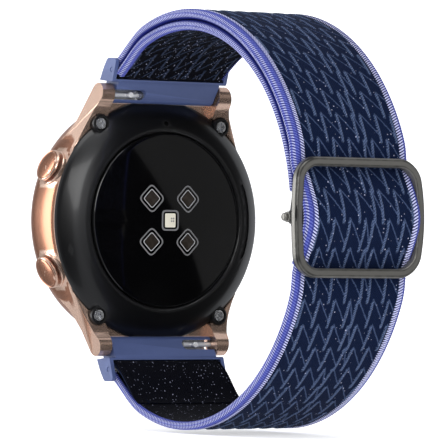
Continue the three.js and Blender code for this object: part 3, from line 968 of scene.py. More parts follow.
class Fabrics:
    """The band's materials, one for each pair of sides."""

    def __init__(self, weave: Weave, effects: Effects) -> None:
        """Builds the shared groups of the weave.

        Args:
            weave: The weave that shapes and colours the band.
            effects: The shared node groups.
        """
        self.weave = weave
        self.effects = effects
        self.rows = weave._stroke_group()
        self.edges = weave._edge_group()
        self.sparkles = effect(
            "bright fibres", {"Place": (0.0, 0.0, 0.0), "Share": 0.5}, {"Spark": "Float"}, self._sparkles,
        )

    @staticmethod
    def _sparkles(g: Graph, s: dict[str, bpy.types.NodeSocket]) -> dict[str, Socket]:
        """Small bright dots of mixed sizes, one in a share of the cells.

        Args:
            g: Graph that the nodes are added to.
            s: The group's input sockets by name.

        Returns:
            What each output takes.
        """
        cells = g.node("ShaderNodeTexVoronoi", {"Vector": s["Place"], "Scale": 1.6}, voronoi_dimensions="2D")
        pick, size, glow = g.node("ShaderNodeSeparateColor", {"Color": cells.outputs["Color"]}).outputs
        near = g.calc("DIVIDE", cells.outputs["Distance"], g.scaled(size, 0.5, 1.25))
        lit = g.calc("MULTIPLY", g.step(near, 0.17, 0.09), g.scaled(glow, 0.15, 1.0))
        return {"Spark": g.calc("MULTIPLY", lit, g.calc("LESS_THAN", pick, s["Share"]))}

    def material(
        self, name: str, outer: Face, inner: Face, bordered: bool = True, layer_gap_shaded: float = 0.0,
    ) -> bpy.types.Material:
        """Builds the fabric.

        Args:
            name: The material's name.
            outer: How the side away from the wrist is woven.
            inner: How the side towards the wrist is woven.
            bordered: Whether the edges are ribbed.
            layer_gap_shaded: 1 or -1 where the inner or the outer half of the edge, which faces the other layer, is
                smooth and takes a painted shade, 0 where neither is.

        Returns:
            The material.
        """
        w = self.weave
        made, g, shader, _ = new_material(name)
        weave = g.node("ShaderNodeAttribute", attribute_name="weave").outputs["Vector"]
        drift = g.noise(weave, 1.3, 3.0)
        across, along, edge = g.node("ShaderNodeSeparateXYZ", {0: weave}).outputs
        far = g.calc("MULTIPLY", g.calc("LESS_THAN", across, 0.0), w.far_cut)
        edge_size = g.calc("ADD", g.calc("ABSOLUTE", edge), far)
        inside = g.calc("GREATER_THAN", edge, 0.0)
        fine = g.node("ShaderNodeVectorMath", {0: weave, 1: (1.0, 1.0, 0.0)}, operation="MULTIPLY").outputs[0]
        fuzz = g.noise(fine, 7.0, 4.0)
        wobble = g.calc("ADD", g.scaled(drift, -0.14, 0.14), g.scaled(fuzz, -0.3, 0.3))
        right = g.calc("SUBTRACT", wobble, across)
        down = g.calc("MULTIPLY", along, -1.0)
        rows = [g.use(self.rows, {"Across": right, "Down": down, "Lag": float(lag)}) for lag in (0, 1)]
        cord, thread = (g.calc("MAXIMUM", *(r.outputs[n] for r in rows)) for n in ("Cord", "Thread"))
        outside_on, inside_on = (float(face is Face.STROKES) for face in (outer, inner))
        shown = g.calc("ADD", g.calc("MULTIPLY", inside, inside_on - outside_on), outside_on)
        cord, thread = (g.calc("MULTIPLY", mask, shown) for mask in (cord, thread))

        twist = g.calc("SINE", g.calc("MULTIPLY", g.calc("ADD", along, g.calc("MULTIPLY", across, 0.8)), 15.0))
        yarn_x = g.calc("SINE", g.calc("MULTIPLY", across, 2 * math.pi / w.yarn))
        yarn_s = g.calc("SINE", g.calc("MULTIPLY", along, 2 * math.pi / w.yarn))
        yarn = g.scaled(g.calc("ADD", g.calc("MULTIPLY", g.calc("MULTIPLY", yarn_x, yarn_s), 0.5), 0.5), 0.0, 1.0)

        tuft = g.calc("MULTIPLY", yarn, g.step(fuzz, 0.35, 0.7))
        front = g.mix(tuft, w.base, w.base_light)
        lay = g.step(g.calc("ADD", g.calc("MULTIPLY", twist, 0.12), fuzz), 0.36, 0.62)
        strand = g.mix(lay, w.cord, w.cord_light)
        cover = g.calc("MULTIPLY", g.step(g.calc("MULTIPLY", cord, g.scaled(fuzz, 0.4, 1.5)), 0.15, 0.75), 0.92)
        front = g.mix(cover, g.mix(g.calc("MULTIPLY", thread, 0.8), front, w.thread), strand)
        back = g.mix(tuft, w.back, w.back_light)
        thin = g.calc("MAXIMUM", g.calc("MULTIPLY", cord, 0.75), g.calc("MULTIPLY", thread, 1.6))
        narrow = g.step(g.calc("MULTIPLY", thin, g.scaled(fuzz, 0.6, 1.3)), 0.35, 0.8)
        back = g.mix(narrow, back, w.back_cord)
        face = g.mix(inside, front, back)
        amount = g.calc("ADD", g.calc("MULTIPLY", inside, 0.2), 0.15)
        spark = g.use(self.sparkles, {"Place": fine, "Share": amount})
        face = g.mix(g.calc("MULTIPLY", spark.outputs["Spark"], 0.8), face, w.sparkle)
        edges = g.use(self.edges, {"Along": along, "Edge": edge_size, "Fuzz": fuzz})
        scallop = g.calc("MULTIPLY", edges.outputs["Rib"], 0.22)
        reach = g.calc("ADD", g.calc("MULTIPLY", inside, w.inner_selvedge - w.selvedge), w.selvedge)
        past = g.calc("SUBTRACT", g.calc("SUBTRACT", edge_size, scallop), reach)
        border = g.calc("MULTIPLY", g.step(past, 0.0, -0.12), 1.0 if bordered else 0.0)
        # The edge half that faces the other layer takes a painted shade for the gap between the layers.
        between = g.step(g.calc("MULTIPLY", edge, layer_gap_shaded), 0.25, 0.5)
        ribbed = g.mix(between, edges.outputs["Colour"], w.layer_gap_shade)
        g.put(shader.inputs["Base Color"], g.mix(border, face, ribbed))
        g.put(shader.inputs["Roughness"], g.scaled(fuzz, 0.75, 0.95))
        shader.inputs["Sheen Weight"].default_value = 0.02
        shader.inputs["Sheen Roughness"].default_value = 0.4
        shader.inputs["Specular IOR Level"].default_value = 0.08
        grain = g.calc("ADD", g.calc("MULTIPLY", yarn, 0.4), g.calc("MULTIPLY", fuzz, 0.8))
        lift = g.calc("MULTIPLY", g.calc("ADD", g.scaled(twist, 0.0, 0.6), 0.4), cord)
        height = g.calc("ADD", g.calc("ADD", grain, lift), g.calc("MULTIPLY", edges.outputs["Rib"], border))
        bumped(g, shader, height, 0.09)
        return made


# ---- Band -----------------------------------------------------------------------------------
@dataclass
class Ribbon:
    """A woven strip that follows a path in the YZ plane, with rounded, ribbed edges."""

    name: str
    path: np.ndarray
    along: np.ndarray
    thickness: np.ndarray
    half_width: np.ndarray
    outer: Face = Face.STROKES
    inner: Face = Face.PLAIN
    face_step: float = 0.15
    inner_step: float = 0.3
    piping_out: float = 0.0
    piping_in: float = 0.0

    def _section(self, half: float, thick: float) -> tuple[np.ndarray, ...]:
        """A closed section through the strip, with rounded edges.

        Args:
            half: Half of the strip's width.
            thick: The strip's thickness.

        Returns:
            The section's x, depth from -1 to 1, normals, and distance from the edge's middle.
        """
        flat = half - thick / 2
        quarter = math.pi * thick / 4
        outer_n = int(round(2 * 10.2 / self.face_step))
        inner_n = int(round(2 * 10.2 / self.inner_step))
        turn = np.radians(np.linspace(90, -90, 14)[1:-1])
        x_outer = np.linspace(-flat, flat, outer_n + 1)
        x_inner = np.linspace(flat, -flat, inner_n + 1)
        back = turn[::-1]
        x = np.concatenate([x_outer, flat + thick / 2 * np.cos(turn), x_inner, -flat - thick / 2 * np.cos(back)])
        depth = np.concatenate([np.ones(outer_n + 1), np.sin(turn), -np.ones(inner_n + 1), np.sin(back)])
        nx = np.concatenate([np.zeros(outer_n + 1), np.cos(turn), np.zeros(inner_n + 1), -np.cos(back)])
        on_arc = turn / (math.pi / 2) * quarter
        edge = np.concatenate([
            -(flat - np.abs(x_outer) + quarter), -on_arc, flat - np.abs(x_inner) + quarter, -on_arc[::-1],
        ])
        return x, depth, nx, edge

    def build(self, weave: Weave) -> bpy.types.Object:
        """Builds the strip with its relief and its weave attribute.

        Args:
            weave: The weave that shapes and colours the band.

        Returns:
            The strip's object.
        """
        tangent = np.gradient(self.path, axis=0)
        tangent /= np.linalg.norm(tangent, axis=1, keepdims=True)
        normal = np.stack([-tangent[:, 1], tangent[:, 0]], 1)
        rings, marks = [], []
        for place, out, s, thick, half in zip(self.path, normal, self.along, self.thickness, self.half_width):
            x, depth, nx, edge = self._section(half, thick)
            side = np.where(edge < 0, self.outer is Face.STROKES, self.inner is Face.STROKES)
            rise = weave.relief(x * BAND_HALF / half, np.full_like(x, s), edge, side)
            piping = np.where(edge < 0, self.piping_out, self.piping_in)
            rise = rise + smoothstep(1.9, 1.0, np.abs(edge)) * piping
            away = thick / 2 * depth + rise * depth
            ring = np.column_stack([x + rise * nx, place[0] + out[0] * away, place[1] + out[1] * away])
            rings.append(ring)
            marks.append(np.column_stack([x * BAND_HALF / half, np.full_like(x, s), edge]))
        made = mesh_of(self.name, loft(rings))
        mark = made.data.attributes.new("weave", "FLOAT_VECTOR", "POINT")
        mark.data.foreach_set("vector", np.concatenate(marks).astype(np.float32).ravel())
        return made


@dataclass
class Band:
    """The elastic loop: an outer layer all the way round and an inner one from the buckle up."""

    rod_y: float = -19.3
    rod_z: float = 23.9
    buckle_angle: float = 0.5
    end_angle: float = 128.9
    split_angle: float = 105.0
    inner_from: float = 8.0
    outer_in: float = 31.5
    outer_out: float = 32.75
    inner_in: float = 29.5
    inner_out: float = 30.7
    half_width: float = BAND_HALF
    fold_in: float = 0.6
    fold_out: float = 1.45
    step: float = 0.165
    weave: Weave = field(default_factory=Weave)

    @property
    def rod_r(self) -> float:
        """Distance of the connector's rod from the loop's centre."""
        return math.hypot(self.rod_y, self.rod_z)

    @property
    def rod_angle(self) -> float:
        """The rod's angle from the buckle, in degrees."""
        return math.degrees(math.atan2(self.rod_z, self.rod_y))

    def taper(self, angle: np.ndarray) -> np.ndarray:
        """How far a layer has narrowed towards a connector's rod, from 0 to 1."""
        return smoothstep(110, self.rod_angle - 3.5, np.abs(angle))

    def along(self, angle: np.ndarray) -> np.ndarray:
        """Distance along the band from the buckle's middle."""
        return np.radians(angle - self.buckle_angle) * 32

    def lift(self, angle: np.ndarray) -> np.ndarray:
        """How far the outer layer is lifted over the buckle's rod and pressed under its end bars."""
        s = self.along(angle)
        return 1.78 * np.exp(-((s / 4.2) ** 2)) - 0.6 * np.exp(-(((np.abs(s) - 8.2) / 2.4) ** 2))

    def layer(self, name: str, low: float, high: float, start: float, end: float, **sides: object) -> Ribbon:
        """A layer between two radii, from one angle up to another.

        Args:
            name: The piece's name.
            low: Inner radius away from the buckle and the connectors.
            high: Outer radius there.
            start: First angle in degrees from +Y towards +Z.
            end: Last angle.
            **sides: How the ribbon's two sides are woven.

        Returns:
            The ribbon, which is built later.
        """
        count = int(round(abs(end - start) * math.pi / 180 * 32 / self.step))
        angle = np.linspace(end, start, count + 1)
        outside = low > 31
        lift = self.lift(angle) if outside else 0.0 * angle
        near, far = (self.fold_in, self.fold_out) if outside else (-self.fold_out, -self.fold_in)
        t = self.taper(angle)
        inner = (1 - t) * (low + lift) + t * (self.rod_r + near)
        outer = (1 - t) * (high + lift) + t * (self.rod_r + far)
        relief = 0.1
        middle = (inner + outer) / 2
        turn = np.radians(angle)
        return Ribbon(
            name,
            path=np.stack([middle * np.cos(turn), middle * np.sin(turn)], 1),
            along=self.along(angle),
            thickness=outer - inner - 2 * relief * (1 - 0.5 * t),
            half_width=self.half_width - relief - 0.4 * t,
            **sides,
        )

    def fold(self, name: str, sign: int) -> Ribbon:
        """The strap's end where it is folded round a connector's rod.

        Args:
            name: Its name.
            sign: 1 at the top and -1 at the bottom.

        Returns:
            The ribbon, which is built later.
        """
        radius = (self.fold_in + self.fold_out) / 2
        towards = self.rod_angle - 90
        centre = np.array([self.rod_y, self.rod_z])
        bend = np.radians(np.linspace(towards + 90, towards + 270, 40))
        points = centre + radius * np.stack([np.cos(bend), np.sin(bend)], 1)
        if sign < 0:
            points = points[::-1]
        points = points * np.array([1, sign])
        lengths = np.concatenate([[0], np.cumsum(np.linalg.norm(np.diff(points, axis=0), axis=1))])
        thick = np.full(len(points), self.fold_out - self.fold_in - 0.16)
        return Ribbon(
            name, points, lengths + self.along(self.rod_angle), thick, np.full(len(points), 10.0),
            Face.PLAIN, Face.PLAIN,
        )

    def end_loop(self, radius: float, rod_r: float) -> Ribbon:
        """The inner layer's end, wrapped round the buckle's rod and sewn back on itself.

        Args:
            radius: Radius of the wrap round the rod.
            rod_r: Distance of the rod from the loop's centre.

        Returns:
            The ribbon, which is built later.
        """
        turn = math.radians(self.buckle_angle)
        top = rod_r + 0.2
        wrap = arc((rod_r, 0), radius, 180, 390, 36)
        points = [(30.12, 2.9), (30.0, 2.2), (29.75, 1.2), *wrap[1:], (top + 0.15, 2.3), (top, 3.3)]
        dense = np.asarray(curve_through(points, 2))
        rotate = np.array([[math.cos(turn), math.sin(turn)], [-math.sin(turn), math.cos(turn)]])
        dense = dense @ rotate
        lengths = np.concatenate([[0], np.cumsum(np.linalg.norm(np.diff(dense, axis=0), axis=1))])
        thick = np.interp(lengths, [0, 2, lengths[-1] - 2.2, lengths[-1]], [1.0, 1.0, 0.95, 0.3])
        half = np.full(len(dense), 10.3)
        return Ribbon("band_end_loop_knit", dense, lengths, thick, half, Face.PLAIN, Face.PLAIN)

    def blended(self, ribbon: Ribbon, cloth: bpy.types.Material,
                replaces: Sequence[str] = ()) -> None:
        """Builds a strip that is tied to no body and stays where it is made.

        Args:
            ribbon: The strip.
            cloth: Its material.
            replaces: CAD nodes that the strip stands for.
        """
        made = ribbon.build(self.weave)
        finish_piece(made, cloth, None, replaces, sharp=60, even=False)
        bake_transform(made)

    def build(self, fabrics: Fabrics) -> None:
        """Builds every woven piece of the band.

        Args:
            fabrics: The band's materials.
        """
        outer_cloth = fabrics.material("band weave, outer layer", Face.STROKES, Face.PLAIN)
        # The facing halves of the two layers' edges take a painted shade for the gap between them.
        inner_cloth = fabrics.material("band weave, inner layer", Face.STROKES, Face.STROKES, layer_gap_shaded=-1.0)
        plain_cloth = fabrics.material("band weave, plain", Face.PLAIN, Face.PLAIN, bordered=False)
        upper_cloth = fabrics.material(
            "band weave, outer layer over the inner", Face.STROKES, Face.PLAIN, layer_gap_shaded=1.0,
        )
        split, end, seam = self.split_angle, self.end_angle, -12.5

        def make(name: str, start: float, stop: float, piping: float = 0.0) -> Ribbon:
            """A length of the outer layer."""
            return self.layer(name, self.outer_in, self.outer_out, start, stop, piping_in=piping)

        upper = make("band_outer_upper", seam, split, 0.34)
        self.blended(upper, upper_cloth)
        self.blended(make("band_outer_lower", -split, seam), outer_cloth)
        self.blended(
            make("band_outer_top_end", split, end, 0.34), upper_cloth,
            ["band_outer"],
        )
        self.blended(
            make("band_outer_bottom_end", -end, -split), outer_cloth,
        )
        sides = {"inner": Face.STROKES, "face_step": 0.3, "inner_step": 0.15, "piping_out": 0.34}
        main = self.layer("band_inner_main", self.inner_in, self.inner_out, self.inner_from, split, **sides)
        self.blended(main, inner_cloth)
        last = self.layer("band_inner_top_end", self.inner_in, self.inner_out, split, end, **sides)
        self.blended(last, inner_cloth, ["band_inner"])
        self.sewn_end(plain_cloth)
        for side, sign in (("top", 1), ("bottom", -1)):
            made = self.fold(f"{side}_strap_fold_knit", sign).build(self.weave)
            finish_piece(
                made, plain_cloth, f"{side}_connector", [f"{side}_strap_fold"], sharp=60, even=False,
            )
        made = self.end_loop(1.5, 31.0).build(self.weave)
        finish_piece(made, plain_cloth, "buckle", ["band_end_loop"], sharp=60, even=False)

    def sewn_end(self, cloth: bpy.types.Material) -> None:
        """The strap's own end at the bottom, turned back inside it and sewn down.

        Args:
            cloth: The strip's material.
        """
        angle = np.linspace(-112.2, -self.end_angle, 130)
        t = smoothstep(-112, -126, angle)
        base = (1 - self.taper(angle)) * self.outer_in + self.taper(angle) * (self.rod_r + self.fold_in)
        outer = (1 - t) * (base - 0.08) + t * (self.rod_r - self.fold_in)
        inner = (1 - t) * (base - 0.16) + t * (self.rod_r - self.fold_out)
        turn = np.radians(angle)
        middle = (inner + outer) / 2
        strip = Ribbon(
            "band_sewn_end_knit", np.stack([middle * np.cos(turn), middle * np.sin(turn)], 1),
            self.along(angle),
            np.maximum(outer - inner - 0.06, 0.05), np.full(len(angle), 10.0), Face.PLAIN, Face.PLAIN,
        )
        self.blended(strip, cloth, ["band_sewn_end"])


# ---- Buckle ---------------------------------------------------------------------------------
@dataclass
class Buckle:
    """The sliding frame with its rod."""

    angle: float = 0.5
    half_x: float = 12.1
    half_z: float = 9.1
    bar: float = 1.45
    corner: float = 3.5
    arch_radius: float = 80.0
    top_y: float = 33.45
    thickness: float = 1.4
    bow: float = 0.85
    rod_y: float = 31.0
    rod_radius: float = 0.8

    def frame_part(self) -> Part:
        """The arched frame: a rounded bar swept round a rounded rectangle."""
        mid = self.bar / 2
        hx, hz, r = self.half_x - mid - self.bow, self.half_z - mid, self.corner - mid
        route: list[Point] = []
        for (sx, sz), start in zip(CORNERS, (0, 90, 180, 270)):
            route += arc((sx * (hx - r), sz * (hz - r)), r, start, start + 90, 14)
        line = np.asarray(spaced(route, 0.5))
        line[:, 0] += self.bow * (1 - (line[:, 1] / hz) ** 2) * np.clip(line[:, 0] / (hx - r), -1, 1)
        tangent = np.roll(line, -1, 0) - np.roll(line, 1, 0)
        tangent /= np.linalg.norm(tangent, axis=1, keepdims=True)
        out = np.stack([tangent[:, 1], -tangent[:, 0]], 1)
        h, v = self.bar / 2, self.thickness / 2
        bar = [(h, -v), (h, v - 0.3), (h - 0.3, v), (-h + 0.25, v), (-h, v - 0.25), (-h, -v)]
        corners = rounded(bar, 0.25, 4)
        section = np.asarray(spaced(corners, 0.16))
        rings = []
        for (x, z), (ox, oz) in zip(line, out):
            px, pz = x + section[:, 0] * ox, z + section[:, 0] * oz
            drop = self.arch_radius - np.sqrt(self.arch_radius**2 - pz**2)
            rings.append(np.column_stack([px, self.top_y - v - drop + section[:, 1], pz]))
        return loft(rings, round_trip=True)

    def build(self, metal: bpy.types.Material, rod_metal: bpy.types.Material) -> None:
        """Builds the frame with its rod bosses, and the rod.

        Args:
            metal: Material of the metal.
            rod_metal: The rod's material.
        """
        tilt = Matrix.Rotation(math.radians(self.angle), 4, "X")
        shell = mesh_of("buckle_frame_shell", self.frame_part())
        bosses = [
            prism(rounded([
                (self.rod_y - 1.05, -0.9), (self.rod_y - 1.05, 0.9),
                (self.top_y - 0.5, 1.7), (self.top_y - 0.5, -1.7),
            ], 0.9, 6), *sorted((s * (self.half_x - self.bar + 0.05), s * (self.half_x - 0.85))), edge=0.15)
            for s in (1, -1)
        ]
        bore = rod(self.rod_radius + 0.08, -THROUGH, THROUGH, self.rod_y, 0, 0)
        combine(shell, add=bosses, cut=[bore])
        shell.data.transform(tilt)
        finish_piece(shell, metal, "buckle", ["buckle_frame"])
        axle = rod(self.rod_radius, 0.1 - self.half_x, self.half_x + 0.05, self.rod_y, 0, 0.15, 48)
        head = rod(0.62, self.half_x + 0.02, self.half_x + 0.7, self.rod_y, 0, 0.3, 48)
        made = mesh_of("buckle_rod_turned", joined(axle, head))
        made.data.transform(tilt)
        finish_piece(made, rod_metal, "buckle", ["buckle_rod"])


# ---- Watch head -----------------------------------------------------------------------------
@dataclass
class WatchHead:
    """The case, the rear cover with its screws, the glasses and the push buttons."""

    cover_r: float = 19.4
    cavity_r: float = 17.9
    seat_y: float = -22.6
    rear_y: float = -22.8
    lug_inner_x: float = 10.1
    bar_y: float = -21.9
    bar_z: float = 20.0
    barrel_r: float = 1.6
    cover_room_r: float = 1.36
    bar_hole_r: float = 0.52
    window_offset: float = 3.47
    tip_r: float = 1.7
    screw_x: float = 11.6
    screw_z: float = 15.3
    ear_r: float = 1.5
    ear_y: float = -21.1
    glass_y: float = -18.45
    glass_r: float = 13.95
    dome: float = 0.0059
    button_angle: float = 24.5
    button_y: float = -25.6
    boss_r: float = 19.85
    travel: float = 0.4

    def barrels(self, radius: float) -> list[Part]:
        """Room for the connectors' barrels between the lugs."""
        return [rod(radius, -self.lug_inner_x, self.lug_inner_x, self.bar_y, s * self.bar_z, 0, 40) for s in (1, -1)]

    def ring(self) -> Part:
        """The case's barrel-shaped ring with its display ledge."""
        side = curve_through([
            (19.15, -22.8), (19.5, -23.5), (19.7, -25.0), (19.75, -26.7), (19.66, -28.4), (19.3, -29.7),
            (18.8, -30.4),
        ], 5)
        rim = [(18.72, -30.36), (18.72, -29.5), (17.05, -29.5), (17.05, -28.9), (17.9, -28.9), (17.9, -22.8)]
        return turned([*side, *rim], 180)

    def lug(self, sx: int, sz: int) -> Part:
        """One lug: a curved side outline, drawn in towards its tip.

        Args:
            sx: 1 or -1, the side in X.
            sz: 1 or -1, the side in Z.

        Returns:
            The lug's part.
        """
        tip = arc((self.bar_y + 0.65, self.bar_z + 0.1), self.tip_r, 150, -52, 24)
        front = curve_through([(-28.9, 11.0), (-27.2, 13.2), (-25.7, 15.2), (-24.6, 17.3), tip[0]], 6)[:-1]
        rear = curve_through([tip[-1], (-20.9, 17.9), (-21.6, 16.4), (-22.2, 14.4), (-22.6, 11.0)], 6)[1:]
        shape = [*front, *tip, *rear]

        def flare(p: np.ndarray) -> np.ndarray:
            """Where the lug's outer face is, for points of (y, z)."""
            return np.interp(p[:, 1], [11, 14, 16.2, 18, 19.4, 21.9], [15.9, 14.45, 13.5, 12.85, 12.5, 12.2])

        return mirrored(prism(shape, self.lug_inner_x, 12.5, 0.0, flare), sx, sz)

    def wall(self, sz: int) -> Part:
        """The case's wall between two lugs, beside the connector's barrel."""
        side = [(-28.6, 10.0), (-28.2, 12.4), (-25.4, 16.9), (-24.0, 19.2), (-22.7, 19.2), (-22.7, 10.0)]
        shape = rounded(side, 0.5)
        return mirrored(prism(shape, -10.4, 10.4), 1, sz)

    def at_button(self, part: Part, sign: int) -> Part:
        """Carries a part built round the +Y axis to a push button's place.

        Args:
            part: The part in millimetres.
            sign: 1 for the upper button and -1 for the lower one.

        Returns:
            The part in its place.
        """
        turn = Matrix.Rotation(-sign * math.radians(self.button_angle), 4, "Y")
        lay = Matrix.Rotation(-math.pi / 2, 4, "Z")
        return moved(part, Matrix.Translation((0, self.button_y, 0)) @ turn @ lay)

    def build_case(self, metal: bpy.types.Material) -> None:
        """Builds the case with its lugs.

        Args:
            metal: Material of the metal.
        """
        shell = mesh_of("case_shell", self.ring())
        boss = capped_turn([(2.9, 18.6), (2.9, self.boss_r - 0.12), (2.78, self.boss_r)], 48)
        bosses = [self.at_button(boss, s) for s in (1, -1)]
        seat = capped_turn([(self.cover_r + 0.12, self.rear_y), (self.cover_r + 0.12, -19)], 180)
        ears = [moved(capped_turn([(self.ear_r + 0.12, self.rear_y), (self.ear_r + 0.12, -19)], 40),
                      Matrix.Translation((sx * self.screw_x, 0, sz * self.screw_z))) for sx, sz in CORNERS]
        cavity = capped_turn([(self.cavity_r, -28.9), (self.cavity_r, -22.0)], 180)
        bores = [self.at_button(capped_turn([(0.95, 17), (0.95, 23)], 24), s) for s in (1, -1)]
        bar_holes = [rod(self.bar_hole_r, *sorted((s * 9.0, s * 11.7)), self.bar_y, sz * self.bar_z, 0, 24)
                     for s, sz in CORNERS]
        combine(shell, add=[*(self.lug(*c) for c in CORNERS), self.wall(1), self.wall(-1), *bosses],
                cut=[seat, *ears, cavity, *bores, *self.barrels(self.barrel_r), *bar_holes])
        soften(shell, 0.16, angle=28, segments=3)
        finish_piece(shell, metal, "head", ["case_body"], sharp=50)

    def build_cover(self, lacquer: bpy.types.Material, steel: bpy.types.Material) -> None:
        """Builds the rear cover and its four screws.

        Args:
            lacquer: The cover's material.
            steel: Material of the steel pieces.
        """
        dome = curve_through([
            (14.8, -19.62), (15.5, -19.84), (16.7, -20.32), (17.8, -20.97), (18.8, -21.72), (19.25, -22.2),
        ], 6)
        lip = [(12.85, -20.75), (14.05, -20.75), (14.1, -20.6), (14.1, -20.05), (14.32, -19.72), (14.55, -19.58)]
        under = [(19.4, -22.45), (19.38, -22.6), (17.2, -22.6), (17.2, -23.8), (16.4, -23.8), (16.4, -22.2),
                 (15.0, -21.3), (12.85, -21.3)]
        shell = mesh_of("rear_cover_shell", turned([*lip, *dome, *under], 180))
        ears, heads = [], []
        for sx, sz in CORNERS:
            place = Matrix.Translation((sx * self.screw_x, 0, sz * self.screw_z))
            r, top = self.ear_r, self.ear_y
            ear = [(r, self.seat_y), (r, top - 0.2), (r - 0.07, top - 0.06), (r - 0.22, top)]
            ears.append(moved(capped_turn(ear, 48), place))
            heads.append(moved(capped_turn([(1.1, -21.75), (1.1, -21.25), (1.22, -20.0)], 40), place))
        vent = capped_turn([(0.4, -22.0), (0.4, -20.2), (0.5, -19.0)], 24)
        vent = moved(vent, Matrix.Translation((0, 0, 15.6)))
        grip = []
        for a in np.linspace(-22, 22, 41):
            half = 0.62 * math.sqrt(max(1 - (abs(a) / 22.6) ** 8, 0.0))
            shape = [(16.0 + k * half, -20.28 - 0.42 * k * half) for k in (-1.0, 0.0, 1.0)]
            shape += [(16.0 + half, -19.0), (16.0 - half, -19.0)]
            turn = math.radians(180 + a)
            grip.append([(r * math.cos(turn), y, r * math.sin(turn)) for r, y in shape])
        combine(shell, add=ears, cut=[*heads, vent, *self.barrels(self.cover_room_r), loft(grip)])
        soften(shell, 0.06, angle=35)
        finish_piece(shell, lacquer, "head", ["rear_cover"], sharp=40)
        for i, (sx, sz) in enumerate(CORNERS):
            side = [(0.45, -25.4), (0.45, -21.62), (0.95, -21.6), (0.95, -21.3), (0.86, -21.18), (0.6, -21.15)]
            made = mesh_of(f"rear_screw_{i + 1}_head", capped_turn(side, 48))
            slots = [block((-w, -21.42, -v), (w, -21.0, v)) for w, v in ((0.66, 0.17), (0.17, 0.66))]
            combine(made, cut=slots)
            soften(made, 0.03, angle=35)
            made.data.transform(Matrix.Rotation(0.5 + i, 4, "Y"))
            made.data.transform(Matrix.Translation((sx * self.screw_x * MM, 0, sz * self.screw_z * MM)))
            finish_piece(made, steel, "head", [f"rear_screw_{i + 1}"])

    def build_glasses(self, glass: bpy.types.Material, front_glass: bpy.types.Material) -> None:
        """Builds the domed rear glass and the display glass.

        Args:
            glass: The rear glass's material.
            front_glass: The display glass's material.
        """
        radii = np.linspace(0.4, self.glass_r - 0.25, 26)
        dome = [(r, self.glass_y - self.dome * r * r) for r in radii]
        rim = dome[-1][1]
        edge = [(self.glass_r - 0.1, rim - 0.06), (self.glass_r, rim - 0.2), (self.glass_r, -20.6)]
        made = mesh_of("rear_glass_dome", capped_turn([*dome, *edge], 144))
        finish_piece(made, glass, "head", ["rear_glass"])
        front = curve_through([
            (0.5, -31.2), (9, -31.2), (17.2, -31.18), (18.0, -31.0), (18.4, -30.7), (18.5, -30.2),
        ], 6)
        made = mesh_of("display_glass_disc", capped_turn([*front, (18.5, -30.1)], 144))
        finish_piece(made, front_glass, "head", ["display_glass"])

    def on_glass(self, flat: np.ndarray, rise: float) -> np.ndarray:
        """Lifts (x, z) points onto the rear glass."""
        drop = self.dome * (flat**2).sum(1)
        return np.column_stack([flat[:, 0], self.glass_y - drop + rise, flat[:, 1]])

    def inlay(self, outlines: Sequence[Sequence[Point]], rise: float) -> Part:
        """A thin inlay in the rear glass between its outer outline and its inner one, or a full plate.

        Args:
            outlines: The outer outline, and the inner one of a ring.
            rise: How far it stands above the glass.

        Returns:
            The inlay's part.
        """
        sink = -0.05
        rings = [self.on_glass(np.asarray(o), h) for o, h in zip(
            [outlines[0], outlines[0], outlines[-1], outlines[-1]], [sink, rise, rise, sink])]
        if len(outlines) > 1:
            return loft(rings, round_trip=True)
        middle = np.asarray(outlines[0]).mean(0)
        shrink = [middle + (np.asarray(outlines[0]) - middle) * k for k in (1.0, 1.0, 0.97, 0.5, 0.06)]
        return loft([self.on_glass(s, h) for s, h in zip(shrink, (sink, rise * 0.6, rise, rise, rise))])

    def build_sensors(self, grey: bpy.types.Material, pale: bpy.types.Material, brown: bpy.types.Material,
                      cream: bpy.types.Material) -> None:
        """Builds the sensor windows that are let into the rear glass.

        Args:
            grey: Material of the rims.
            pale: Material of the fine lines.
            brown: Material of the lenses.
            cream: Material of the light.
        """
        rims, lines, cores = [], [], []
        for sx, sz in CORNERS:
            def diamond(half: float, corner: float) -> list[Point]:
                """A rounded diamond round this window's middle."""
                shape = rounded([(half, 0), (0, half), (-half, 0), (0, -half)], corner, 6)
                return [(x + sx * self.window_offset, z + sz * self.window_offset) for x, z in shape]
            rims.append(self.inlay([diamond(2.5, 0.9), diamond(2.2, 0.75)], 0.03))
            lines.append(self.inlay([diamond(1.62, 0.4), diamond(1.46, 0.32)], 0.025))
            cores.append(self.inlay([diamond(1.28, 0.25)], 0.02))

        def plate(hx: float, hz: float, corner: float) -> list[Point]:
            """A rounded rectangle round the glass's middle."""
            return rounded([(hx, hz), (-hx, hz), (-hx, -hz), (hx, -hz)], corner, 6)

        rims.append(self.inlay([plate(1.62, 1.66, 0.75), plate(1.36, 1.4, 0.6)], 0.03))
        marks = [self.inlay([[(x + 0.13 * dx, z + 0.13 * dz) for dx, dz in CORNERS]], 0.035)
                 for x in (-0.22, -0.6) for z in (0.3, -0.12)]
        for name, parts, material, slot in (
            ("sensor_window_rims", rims, grey, "rear_glass"),
            ("sensor_window_lines", lines, pale, "rear_glass"),
            ("sensor_window_lenses", cores, brown, "sensor_chip"),
            ("sensor_light_window", [self.inlay([plate(1.0, 1.12, 0.2)], 0.025)], cream, "sensor_light"),
            ("sensor_light_dies", marks, grey, "rear_glass"),
        ):
            finish_piece(mesh_of(name, joined(*parts)), material, "head")

    def build_buttons(self, metal: bpy.types.Material) -> None:
        """Builds the two push buttons.

        Args:
            metal: Material of the metal.
        """
        base = self.boss_r + self.travel + 0.05
        cap = [
            (0.75, 16.9), (0.75, base), (2.5, base), (2.62, base + 0.1), (2.7, base + 0.3), (2.62, base + 0.48),
        ]
        crown = curve_through([
            (2.5, base + 0.56), (2.3, base + 0.5), (2.1, base + 0.62), (1.2, base + 0.74), (0.2, base + 0.78),
        ], 4)
        for side, sign in (("upper", 1), ("lower", -1)):
            made = mesh_of(f"{side}_button_cap", self.at_button(capped_turn([*cap, *crown], 64), sign))
            finish_piece(made, metal, f"{side}_button", [f"{side}_button"], sharp=45)


